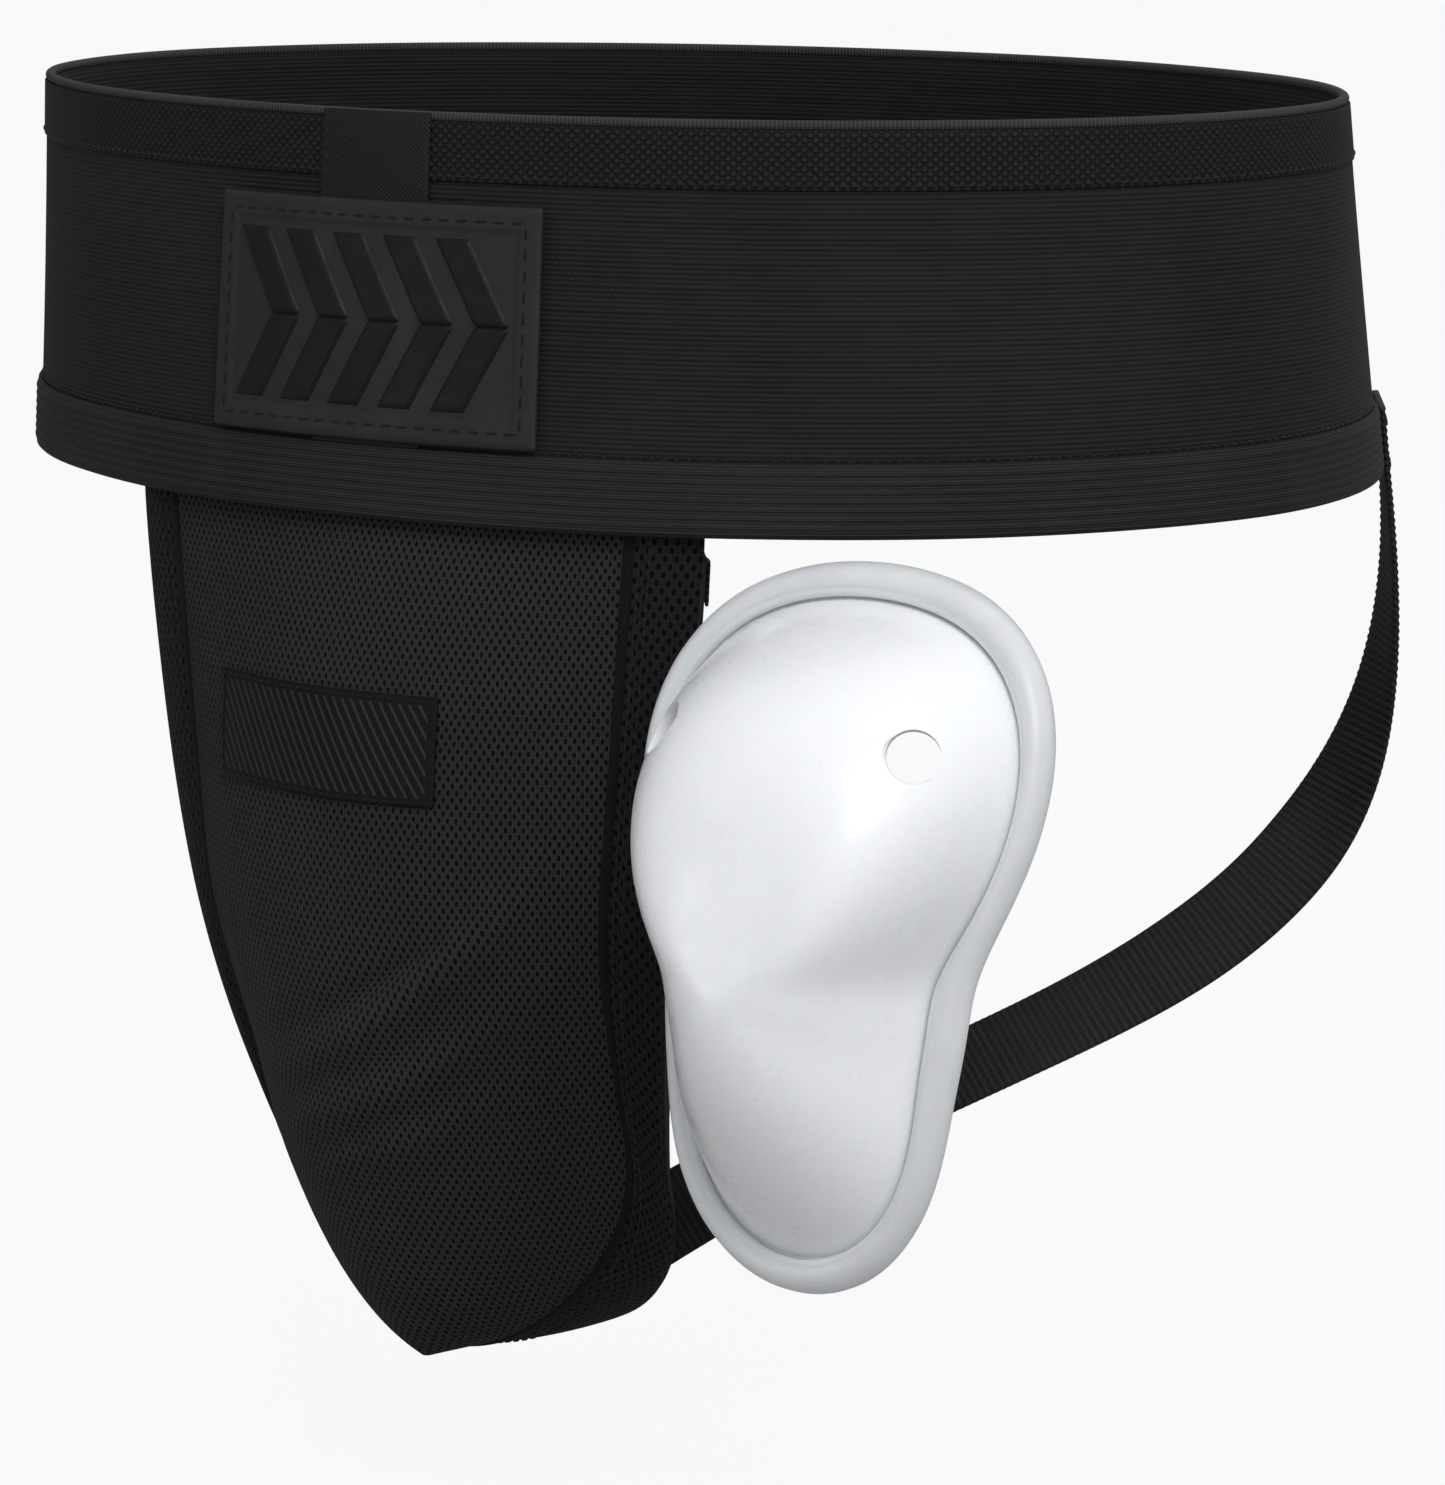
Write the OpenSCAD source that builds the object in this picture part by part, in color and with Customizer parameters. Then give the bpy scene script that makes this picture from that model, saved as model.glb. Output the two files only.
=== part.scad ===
// Groin protector: an elastic waistband that carries a front pouch, two leg straps that run
// back from the crotch to the hips, and a hard cup that goes into the pouch's pocket.
// Millimetres. +Z is up, the wearer faces -Y, and the wearer's left is +X.
// The origin is the centre of the waist opening, level with the band's top edge.

/* [Waistband] */
// Half of the waist opening's width, side to side
waist_half_w = 160; // [152:1:172]
// Half of the waist opening's depth, front to back
waist_half_d = 116; // [110:1:124]
// Height of the whole waistband
band_h = 86; // [80:1:96]
// Growth of the half width from the top edge to the bottom edge
flare_w = 4; // [0:0.5:8]
// Growth of the half depth from the top edge to the bottom edge
flare_d = 14; // [8:0.5:16]
// How far the bottom edge is set back over the hips
hip_shift = 6.5; // [2:0.5:10]
// Thickness of the waistband webbing
band_t = 1.6; // [1.2:0.1:2.4]
// Height of the grip weave under the top edge
grip_h = 12; // [8:1:16]
// Height of the ribbed hem at the bottom edge
hem_h = 15; // [12:0.5:18]
// How far the ribbed hem stands out from the webbing
hem_t = 1.4; // [0.8:0.1:2]

/* [Front patch and label] */
// Width of the tape over the band's joining seam
tape_w = 27.5; // [20:0.5:32]
// Width of the moulded patch, measured along the band
patch_w = 82; // [70:1:88]
// Height of the moulded patch
patch_h = 50; // [44:1:51]
// Width of the woven label on the pouch
label_w = 61; // [40:1:70]
// Height of the woven label on the pouch
label_h = 23; // [16:1:30]
// How far the label sits to the wearer's right of the middle
label_shift = 9; // [0:1:16]

/* [Pouch] */
// Drop from the waistband to the pouch's tip
pouch_drop = 190.5; // [188:0.5:196]
// Half width of the front panel at the band
panel_half_w = 60.5; // [56:0.5:62]
// Half width of the front panel where its round end begins
panel_end_half_w = 48.5; // [44:0.5:50]
// How far the front panel's middle stands forward of its seams
panel_bulge = 22; // [18:1:26]
// Thickness of the pouch's mesh
mesh_t = 1.4; // [1:0.1:2]
// Height of the elastic round the pocket's mouth
mouth_h = 9; // [6:1:12]

/* [Leg straps] */
// Width of the strap webbing
strap_w = 19; // [16:1:24]
// Thickness of the strap webbing
strap_t = 1.4; // [1:0.1:2]

/* [Cup] */
// How far the dome stands out from the cup's rim
cup_depth = 38; // [30:1:40]
// Wall thickness of the hard shell
cup_wall = 2.4; // [2:0.1:3]
// Diameter of each vent hole
vent_d = 11; // [8:0.5:13]
// Distance between the vent holes
vent_spacing = 52; // [48:1:60]
// Lean of the cup's rim from upright, top back
cup_lean = 10; // [4:0.5:12]
// Width of the soft cushion round the cup's rim
cushion_w = 6.6; // [5:0.2:7]

/* [Hidden] */

black = [0.055, 0.055, 0.06];
soft_black = [0.09, 0.09, 0.095];
dark_grey = [0.16, 0.16, 0.17];
mid_grey = [0.32, 0.32, 0.33];
cup_white = [0.88, 0.89, 0.91];
rim_white = [0.80, 0.81, 0.83];

gap = 0.3;            // clearance between neighbouring soft pieces
skin = 0.1;           // clearance under a trim that follows the webbing
front = -90;          // angle of the wearer's front, round the band
binding_h = 2;        // height of the binding over the top edge
lift = 0.05;          // clearance under a trim that lies on another trim
tape_t = 0.6;
grip_t = 0.5;
patch_t = 1.4;
relief_t = 0.6;
thread_t = 0.4;

// ---------- shared geometry ----------

function lerp(a, b, t) = a + (b - a) * t;
function unit(v) = v / norm(v);
function clamp01(t) = min(1, max(0, t));
function ease(t) = let (c = clamp01(t)) c * c * (3 - 2 * c);
function bezier(p, t) =
    let (u = 1 - t)
    p[0] * u * u * u + p[1] * 3 * u * u * t + p[2] * 3 * u * t * t + p[3] * t * t * t;

// Unit normal of the surface f(s, k), by small steps along s and k
function normal_of(f, s, k) =
    let (e = 0.002)
    unit(cross(f(s + e, k) - f(s - e, k), f(s, k + e) - f(s, k - e)));

// One solid from sections of equal length; a loop joins its last section to its first
module run_of(sections, loop = false, flip = false) {
    n = len(sections);
    m = len(sections[0]);
    half = m / 2;
    last = loop ? n - 1 : n - 2;
    sides = [
        for (i = [0 : last], j = [0 : m - 1])
            let (a = i * m + j, b = i * m + (j + 1) % m)
            let (c = ((i + 1) % n) * m + (j + 1) % m, d = ((i + 1) % n) * m + j)
            each [[a, b, c], [a, c, d]]
    ];
    caps = loop ? [] : [
        for (j = [0 : half - 2], e = [0, 1])
            let (o = e * (n - 1) * m)
            let (a = o + j, b = o + j + 1, c = o + m - 2 - j, d = o + m - 1 - j)
            each (e == 0 ? [[a, c, b], [a, d, c]] : [[a, b, c], [a, c, d]])
    ];
    faces = concat(sides, caps);
    polyhedron(
        points = [for (sec = sections) each sec],
        faces = flip ? [for (q = faces) [q[2], q[1], q[0]]] : faces,
        convexity = 6
    );
}

// A sheet that follows the surface f(s, k), from offset t0 to offset t1 along its normal
module sheet(f, s, k, ns, nk, t0, t1, loop = false) {
    steps = loop ? ns - 1 : ns;
    sections = [
        for (i = [0 : steps])
            let (si = lerp(s[0], s[1], i / ns))
            concat(
                [for (j = [0 : nk]) let (kj = lerp(k[0], k[1], j / nk))
                    f(si, kj) + normal_of(f, si, kj) * t1],
                [for (j = [nk : -1 : 0]) let (kj = lerp(k[0], k[1], j / nk))
                    f(si, kj) + normal_of(f, si, kj) * t0]
            )
    ];
    run_of(sections, loop, flip = (s[1] - s[0]) * (k[1] - k[0]) * (t1 - t0) < 0);
}

// ---------- waistband ----------

// Outer face of the webbing at an angle round the waist and a height below its top edge
band_face = function (angle, z)
    let (k = -z / band_h)
    [
        (waist_half_w + flare_w * k) * cos(angle),
        (waist_half_d + flare_d * k) * sin(angle) + hip_shift * k,
        z
    ];

// Angle round the band at a distance x from its middle front
function front_angle(x) = front + asin(x / waist_half_w);

module band_ring(z_top, z_bottom, t0, t1) {
    sheet(band_face, [0, 360], [z_top, z_bottom], 96, 1, t0, t1, loop = true);
}

module waistband_webbing() {
    color(soft_black) band_ring(-binding_h - gap / 2, -band_h, -band_t, 0);
}

// Narrow cord-like binding that closes the band's top edge
module waist_edge_binding() {
    color(mid_grey) band_ring(0, -binding_h, -band_t - 0.3, 0.3);
}

module upper_grip_band() {
    color(black) band_ring(-binding_h - gap, -binding_h - gap - grip_h, skin, grip_t);
}

module ribbed_hem_band() {
    color(soft_black) band_ring(-band_h + hem_h, -band_h, skin, hem_t);
}

module front_piece(x, z, nx, t0, t1) {
    sheet(
        band_face, [front_angle(x[0]), front_angle(x[1])], [z[0], z[1]], nx, 4, t0, t1
    );
}

tape_in = grip_t + lift;
tape_out = tape_in + tape_t;
module front_seam_tape() {
    color(black)
        front_piece([-tape_w / 2, tape_w / 2], [-0.4, -band_h + hem_h + gap], 8,
            tape_in, tape_out);
}

patch_top = -19.5;
patch_in = tape_out + lift;
patch_out = patch_in + patch_t;
module waistband_patch() {
    color(dark_grey)
        front_piece([-patch_w / 2, patch_w / 2], [patch_top, patch_top - patch_h], 20,
            patch_in, patch_out);
}

// Raised chevrons on the patch: each is two slanted bars that meet at mid height
chevrons = 5;
chevron_pitch = 13;
chevron_bar = 8;
chevron_reach = 10;
chevron_margin = 6.8;
module patch_relief() {
    mid = patch_top - patch_h / 2;
    half = patch_h / 2 - chevron_margin;
    color(black)
        for (i = [0 : chevrons - 1], side = [-1, 1]) {
            x0 = (i - (chevrons - 1) / 2) * chevron_pitch + (chevron_reach - chevron_bar) / 2;
            bar = function (s, k)
                band_face(front_angle(x0 + s - chevron_reach * k), mid + side * half * k);
            sheet(bar, [0, chevron_bar], [0.02, 1], 3, 6,
                side * (patch_out + lift), side * (patch_out + relief_t));
        }
}

// Two rows of dashes of thread round the patch's border
stitch_pitch = 4.2;
stitch_len = 2.6;
stitch_w = 0.6;
stitch_inset = 3;
module patch_stitching() {
    nx = floor((patch_w - 2 * stitch_inset) / stitch_pitch);
    nz = floor((patch_h - 2 * stitch_inset) / stitch_pitch);
    t0 = patch_out + lift;
    t1 = patch_out + thread_t;
    color(mid_grey) {
        for (i = [0 : nx - 1], end = [0, 1]) {
            x = (i - (nx - 1) / 2) * stitch_pitch;
            z = patch_top - lerp(stitch_inset, patch_h - stitch_inset, end);
            sheet(band_face,
                [front_angle(x - stitch_len / 2), front_angle(x + stitch_len / 2)],
                [z, z - stitch_w], 1, 1, t0, t1);
        }
        for (i = [0 : nz - 1], side = [-1, 1]) {
            z = patch_top - patch_h / 2 + (i - (nz - 1) / 2) * stitch_pitch;
            x = side * (patch_w / 2 - stitch_inset);
            sheet(band_face, [front_angle(x), front_angle(x + stitch_w)],
                [z + stitch_len / 2, z - stitch_len / 2], 1, 1, t0, t1);
        }
    }
}

// ---------- pouch ----------

pouch_top = -band_h - gap;
pouch_tip = -band_h - pouch_drop;
round_end = 60;                        // height of the front panel's round end
panel_low = pouch_tip + 5;             // where the gussets' front seams stop
gusset_low = pouch_tip + 8;            // where the gussets' rear edges stop

panel_tuck = 5.1;                      // how far the panel's top is set in from the band's face

// Middle line of the front panel, seen from the side, as [y, z]
front_y = -waist_half_d - flare_d + hip_shift + panel_tuck;
tip_y = front_y + 15;
panel_line = [
    [front_y, pouch_top], [front_y - panel_bulge, pouch_top - 60],
    [front_y - panel_bulge * 0.8, pouch_tip + 27], [tip_y, pouch_tip]
];

function panel_half(z) =
    let (start = pouch_tip + round_end)
    z > start
        ? lerp(panel_half_w, panel_end_half_w, (pouch_top - z) / (pouch_top - start))
        : panel_end_half_w * pow(max(0, 1 - pow((start - z) / round_end, 2)), 0.58);

// Depth of the seam between front panel and gusset
seam_y_top = -110;
function seam_y(z) =
    seam_y_top + 22 * ease((-165 - z) / 88) - 3 * ease((-250 - z) / 29);

// Outer rear edge of the gusset
edge_half_top = 73.5;
edge_half_low = 51.5;
edge_round = 42;
edge_tip = pouch_tip - 2;
function edge_half(z) =
    let (start = edge_tip + edge_round)
    z > start
        ? lerp(edge_half_top, edge_half_low,
            pow((pouch_top - z) / (pouch_top - start), 1.4))
        : edge_half_low * sqrt(max(0, 1 - pow((start - z) / edge_round, 2)));
function edge_y(z) = -103.5 + 44 * pow(clamp01((-140 - z) / 140), 2.4);

// Front panel: s runs from seam to seam, k down the middle line
panel_face = function (s, k)
    let (mid = bezier(panel_line, k), z = mid[1])
    [
        panel_half(z) * s,
        lerp(seam_y(z), mid[0], 1 - s * s),
        z
    ];

module pouch_front_panel() {
    color(soft_black) sheet(panel_face, [-1, 1], [0.004, 0.985], 28, 30, -mesh_t, 0);
}

// Gusset: s runs from the front seam to the rear edge, k from the band to the crotch
function seam_point(k) =
    let (z = lerp(pouch_top, panel_low, k)) [panel_half(z) + gap, seam_y(z), z];
function edge_point(k) =
    let (z = lerp(pouch_top, gusset_low, k)) [edge_half(z), edge_y(z), z];
gusset_face = function (s, k) lerp(seam_point(k), edge_point(k), s);

module gusset() {
    sheet(gusset_face, [0.03, 1], [0.01, 0.99], 3, 36, -mesh_t, 0);
}

module pouch_gusset_left() {
    color(black) gusset();
}

module pouch_gusset_right() {
    color(black) mirror([1, 0, 0]) gusset();
}

// Closes the pouch underneath, between the two gussets' ends
module pouch_bottom_gusset() {
    color(black)
        translate([0, 0, pouch_tip + 5])
            linear_extrude(mesh_t)
                hull()
                    for (side = [-1, 1]) {
                        translate([side * 14, -87]) circle(r = 4, $fn = 32);
                        translate([side * 21, -63]) circle(r = 4, $fn = 32);
                    }
}

// Body-side lining: a sling behind the cup, open along its top edge
lining_top = pouch_top - 7;
lining_low = pouch_tip + 8;
lining_back = -56;
lining_face = function (s, k)
    let (z = lerp(lining_top, lining_low, k), y = edge_y(z) + gap)
    let (roundness = lerp(2.2, 3.2, ease(k * 4)))
    [
        (edge_half(z) - gap) * s,
        lerp(y, lining_back, 1 - pow(abs(s), roundness)),
        z
    ];

module pouch_lining() {
    color(soft_black) sheet(lining_face, [-1, 1], [0, 1], 28, 16, 0, mesh_t);
}

module pocket_mouth_elastic() {
    share = mouth_h / (lining_top - lining_low);
    color(black)
        sheet(lining_face, [-1, 1], [0, share], 28, 2, mesh_t + gap, mesh_t + 1.2);
}

label_top = -123.5;
module pouch_label() {
    middle = -label_shift;
    label_face = function (x, z)
        let (k = (pouch_top - z) / (pouch_top - label_top))
        [
            x,
            lerp(seam_y(z), bezier(panel_line, label_k(z))[0],
                1 - pow(x / panel_half(z), 2)),
            z
        ];
    color(black)
        sheet(label_face, [middle - label_w / 2, middle + label_w / 2],
            [label_top, label_top - label_h], 16, 4, mesh_t + gap, mesh_t + 0.9);
}

// Share of the panel's middle line at a height z, by bisection
function label_k(z, lo = 0, hi = 1, n = 18) =
    let (mid = (lo + hi) / 2)
    n == 0 ? mid
        : bezier(panel_line, mid)[1] > z ? label_k(z, mid, hi, n - 1)
        : label_k(z, lo, mid, n - 1);

// Reinforced tab behind the pouch's bottom, where both straps are sewn
tab_y = lining_back + 3;
tab_z = -261;
module crotch_tab() {
    color(black)
        translate([0, tab_y + 2, tab_z])
            rotate([90, 0, 0])
                linear_extrude(1.6)
                    hull()
                        for (x = [-17, 17], z = [-7, 7])
                            translate([x, z]) circle(r = 4, $fn = 32);
}

// ---------- leg straps ----------

hip_angle = 27;                         // where each strap leaves the band
hip_out = [0.84, 0.543, 0];             // outward, where the strap leaves the band
strap_mid = hem_t + 0.1 + strap_t / 2;  // mid thickness of the strap over the hem
strap_start = band_face(hip_angle, -band_h) + hip_out * strap_mid;
tab_face = tab_y + 2.4 + strap_t / 2;   // mid thickness of the strap over the crotch tab
strap_line = [
    strap_start, strap_start + [6, 22, -128], [90, 6, -203], [21, tab_face, tab_z + 1]
];
strap_steps = 40;

// Points down the strap's middle: the end sewn on the hem, the free run, the end sewn on the tab
strap_points = concat(
    [for (z = [-band_h + hem_h : -3 : -band_h + 3])
        band_face(hip_angle, z) + hip_out * strap_mid],
    [for (i = [0 : strap_steps]) bezier(strap_line, i / strap_steps)],
    [for (x = [16, 10, 4]) [x, tab_face, tab_z]]
);

// The inner face turns from the hip, round the back of the thigh, and looks up near the crotch
function strap_facing(t) =
    let (a = 212 + 84 * ease(t * 2) - 26 * ease((t - 0.8) * 5))
    [cos(a), sin(a), ease((t - 0.3) * 2.5) * (1 - ease((t - 0.86) * 9))];

function strap_section(i) =
    let (last = len(strap_points) - 1)
    let (p = strap_points[i])
    let (d = unit(strap_points[min(last, i + 1)] - strap_points[max(0, i - 1)]))
    let (f = strap_facing(clamp01((i - 5) / strap_steps)))
    let (n = unit(f - d * (f * d)), w = cross(d, n))
    [
        p + w * strap_w / 2 + n * strap_t / 2, p - w * strap_w / 2 + n * strap_t / 2,
        p - w * strap_w / 2 - n * strap_t / 2, p + w * strap_w / 2 - n * strap_t / 2
    ];

module strap() {
    run_of([for (i = [0 : len(strap_points) - 1]) strap_section(i)]);
}

module leg_strap_left() {
    color(soft_black) strap();
}

module leg_strap_right() {
    color(soft_black) mirror([1, 0, 0]) strap();
}

// Rows of thread that hold the straps' ends on the hem and on the crotch tab
module strap_bar_tacks() {
    t0 = strap_mid + strap_t / 2 + 0.6;
    half_angle = asin(strap_w * 0.4 / norm([strap_start[0], strap_start[1]]));
    color(mid_grey)
        for (side = [0, 1])
            mirror([side, 0, 0]) {
                for (z = [-band_h + hem_h - 3, -band_h + 3])
                    sheet(band_face, [hip_angle - half_angle, hip_angle + half_angle],
                        [z, z - 1.2], 3, 1, t0, t0 + thread_t);
                for (x = [6, 14])
                    translate([x, tab_face + strap_t / 2 + gap, tab_z - strap_w * 0.4])
                        cube([1.2, thread_t, strap_w * 0.8]);
            }
}

// ---------- cup ----------

cup_hub = [120, -133, -172.5];    // dome's crown, in the plane of the rim, beside the pouch
cup_turns = 72;
cup_rings = 12;
rim_bow = 9;                      // how far the rim's ends bend towards the body
flange_w = 1;

// Outline of the cushion's outer edge: a broad top, a waist and a narrow round bottom
function cup_radius(a) =
    55.8 + 14 * cos(a) + 20.6 * cos(2 * a) + 0.25 * cos(3 * a) - 0.2 * cos(4 * a)
        - 2 * cos(5 * a) - 0.9 * cos(6 * a);

// Cup coordinates (across, up the rim, out of the rim) to the frame's coordinates
function cup_place(v, u, w) =
    let (out = w - rim_bow * pow(u / 80, 2))
    cup_hub + [
        v,
        -out * cos(cup_lean) + u * sin(cup_lean),
        u * cos(cup_lean) + out * sin(cup_lean)
    ];

// Dome height at share r of the way from crown to flange; it falls fastest at the bottom
function dome_h(a, r) = cup_depth * (1 - pow(clamp01(r), 3.2 + 1.4 * cos(a)));

function dome_point(a, r, wall) =
    let (base = cup_radius(a) - cushion_w - flange_w - wall)
    let (w = dome_h(a, r) - wall * (1 + 0.35 * r))
    cup_place(base * r * sin(a), base * r * cos(a), w);

function flange_point(a, out, w) =
    let (r = cup_radius(a) - cushion_w + out) cup_place(r * sin(a), r * cos(a), w);

function turn(f) = [for (i = [0 : cup_turns - 1]) f(360 * i / cup_turns)];

// Closed solid from rings, with a point at each end
module cap_of(rings, first, last) {
    m = cup_turns;
    n = len(rings);
    tip = n * m;
    sides = [
        for (i = [0 : n - 2], j = [0 : m - 1])
            let (a = i * m + j, b = i * m + (j + 1) % m, c = b + m, d = a + m)
            each [[a, b, c], [a, c, d]]
    ];
    ends = [
        for (j = [0 : m - 1])
            each [[tip, (j + 1) % m, j], [tip + 1, tip - m + j, tip - m + (j + 1) % m]]
    ];
    polyhedron(
        points = concat([for (q = rings) each q], [first, last]),
        faces = [for (q = concat(sides, ends)) [q[2], q[1], q[0]]],
        convexity = 6
    );
}

vent_up = 49;       // height of the vents above the hub, along the rim
vent_turn = 29;     // how far each vent turns outward
vent_rise = 8;      // how far each vent's line tips up from the dome's own lean
vent_out = 16;      // where the vents' lines cross, above the rim's plane
module vents() {
    for (side = [-1, 1])
        translate(cup_place(side * vent_spacing / 2, vent_up, vent_out))
            rotate([0, 0, side * vent_turn])
                rotate([90 - cup_lean - vent_rise, 0, 0])
                    cylinder(d = vent_d, h = 44, center = true, $fn = 48);
}

module cup_shell() {
    outer = [
        for (i = [1 : cup_rings])
            let (r = i / cup_rings) turn(function (a) dome_point(a, r, 0))
    ];
    edge = [
        turn(function (a) flange_point(a, 3.6, 0)),
        turn(function (a) flange_point(a, 3.6, -cup_wall))
    ];
    inner = [
        for (i = [cup_rings : -1 : 1])
            let (r = i / cup_rings) turn(function (a) dome_point(a, r, cup_wall))
    ];
    color(cup_white)
        difference() {
            cap_of(concat(outer, edge, inner), dome_point(0, 0, 0), dome_point(0, 0, cup_wall));
            vents();
        }
}

// Soft rim that is pushed over the flange: [distance out from the flange's root, height]
cushion_profile = [
    [-0.6, gap], [-0.6, 2.2], [1.6, 3.3], [4.4, 2.8], [6.2, 1.2], [6.6, -0.8],
    [6.2, -3.2], [4.4, -5], [1.6, -5.6], [-0.6, -4.8], [-0.6, -cup_wall - 4 * gap],
    [3.6 + gap, -cup_wall - gap], [3.6 + gap, gap]
];
module cup_edge_cushion() {
    color(rim_white)
        run_of(
            [
                for (i = [0 : cup_turns - 1])
                    [for (q = cushion_profile) flange_point(360 * i / cup_turns, q[0], q[1])]
            ],
            loop = true
        );
}

waistband_webbing();
waist_edge_binding();
upper_grip_band();
ribbed_hem_band();
front_seam_tape();
waistband_patch();
patch_relief();
patch_stitching();
pouch_front_panel();
pouch_gusset_left();
pouch_gusset_right();
pouch_bottom_gusset();
pouch_lining();
pocket_mouth_elastic();
pouch_label();
crotch_tab();
leg_strap_left();
leg_strap_right();
strap_bar_tacks();
cup_shell();
cup_edge_cushion();
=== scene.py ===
"""Looks of the groin protector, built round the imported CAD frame. Lengths in the
shape functions are millimetres in the frame's own axes; meshes are made in metres."""

import math

import bpy
import numpy as np
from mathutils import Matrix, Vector


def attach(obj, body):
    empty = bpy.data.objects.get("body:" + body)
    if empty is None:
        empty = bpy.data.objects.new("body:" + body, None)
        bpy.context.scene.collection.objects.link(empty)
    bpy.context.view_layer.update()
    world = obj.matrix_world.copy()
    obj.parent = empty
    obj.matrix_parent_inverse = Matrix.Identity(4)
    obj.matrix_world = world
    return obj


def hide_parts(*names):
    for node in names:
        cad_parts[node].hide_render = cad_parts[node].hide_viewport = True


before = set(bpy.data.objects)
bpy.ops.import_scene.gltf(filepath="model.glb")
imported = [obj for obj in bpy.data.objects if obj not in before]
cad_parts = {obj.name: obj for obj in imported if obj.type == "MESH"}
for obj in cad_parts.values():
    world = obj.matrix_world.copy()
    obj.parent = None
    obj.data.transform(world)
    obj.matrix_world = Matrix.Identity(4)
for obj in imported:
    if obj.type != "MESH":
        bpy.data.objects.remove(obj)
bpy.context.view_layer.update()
MM = 0.001
TAU = 2 * math.pi

# ---------------------------------------------------------------- sizes, as in the CAD
HALF_W, HALF_D, BAND_H = 160, 116, 86
FLARE_W, FLARE_D, HIP_SHIFT = 4, 14, 6.5
BAND_T, BINDING_H, GRIP_H, HEM_H, HEM_T = 1.6, 2, 12, 15, 1.4
TAPE_W, PATCH_W, PATCH_H, PATCH_TOP = 27.5, 82, 50, -19.5
LABEL_W, LABEL_H, LABEL_SHIFT, LABEL_TOP = 61, 23, 9, -123.5
MESH_T, GAP = 1.4, 0.3
POUCH_TOP = -BAND_H - GAP
POUCH_TIP = -BAND_H - 190.5
PANEL_HALF, PANEL_END_HALF, ROUND_END, PANEL_BULGE = 60.5, 48.5, 60, 22
FRONT_Y = -HALF_D - FLARE_D + HIP_SHIFT + 5.1
TIP_Y = FRONT_Y + 15
EDGE_HALF_TOP, EDGE_HALF_LOW, EDGE_ROUND, EDGE_TIP = 73.5, 51.5, 42, POUCH_TIP - 2
LINING_TOP, LINING_LOW, LINING_BACK = POUCH_TOP - 7, POUCH_TIP + 8, -56
MOUTH_H = 9
STRAP_W, STRAP_T = 19, 1.4
TAB_Y, TAB_Z = LINING_BACK + 3, -261
CUP_DEPTH, CUP_WALL, VENT_D, VENT_SPACING = 38, 2.4, 11, 52
CUP_LEAN, CUSHION_W, RIM_BOW, FLANGE_W = 10, 6.6, 9, 1
CUP_HUB = np.array([120, -133, -172.5])
VENT_UP, VENT_TURN, VENT_RISE, VENT_OUT = 49, 29, 8, 16


# ---------------------------------------------------------------- camera and light
VIEW_AZIMUTH, VIEW_ELEVATION, VIEW_DISTANCE, VIEW_LENS = 32.9, 10.73, 1.3, 135.2
VIEW_TARGET = Vector((0.0118, 0, -0.1539))
LIGHT_TARGET = Vector((0.03, -0.05, -0.15))
FLOOR_Z = -0.315


def back_of(azimuth, elevation):
    a, e = math.radians(azimuth), math.radians(elevation)
    return Vector((math.sin(a) * math.cos(e), -math.cos(a) * math.cos(e), math.sin(e)))


def add_object(name, data):
    made = bpy.data.objects.new(name, data)
    bpy.context.scene.collection.objects.link(made)
    return made


def add_camera():
    data = bpy.data.cameras.new("camera")
    camera = add_object("camera", data)
    back = back_of(VIEW_AZIMUTH, VIEW_ELEVATION)
    camera.location = VIEW_TARGET + back * VIEW_DISTANCE
    camera.rotation_mode = "QUATERNION"
    camera.rotation_quaternion = (-back).to_track_quat("-Z", "Y")
    data.lens, data.sensor_width = VIEW_LENS, 36
    data.clip_start, data.clip_end = 0.05, 60
    bpy.context.scene.camera = camera


def add_area(name, azimuth, elevation, distance, size, power, color=(1, 1, 1)):
    data = bpy.data.lights.new(name, "AREA")
    data.shape, data.size, data.size_y = "RECTANGLE", size[0], size[1]
    data.energy, data.color = power, color
    lamp = add_object(name, data)
    back = back_of(azimuth, elevation)
    lamp.location = LIGHT_TARGET + back * distance
    lamp.rotation_mode = "QUATERNION"
    lamp.rotation_quaternion = (-back).to_track_quat("-Z", "Y")


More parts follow.
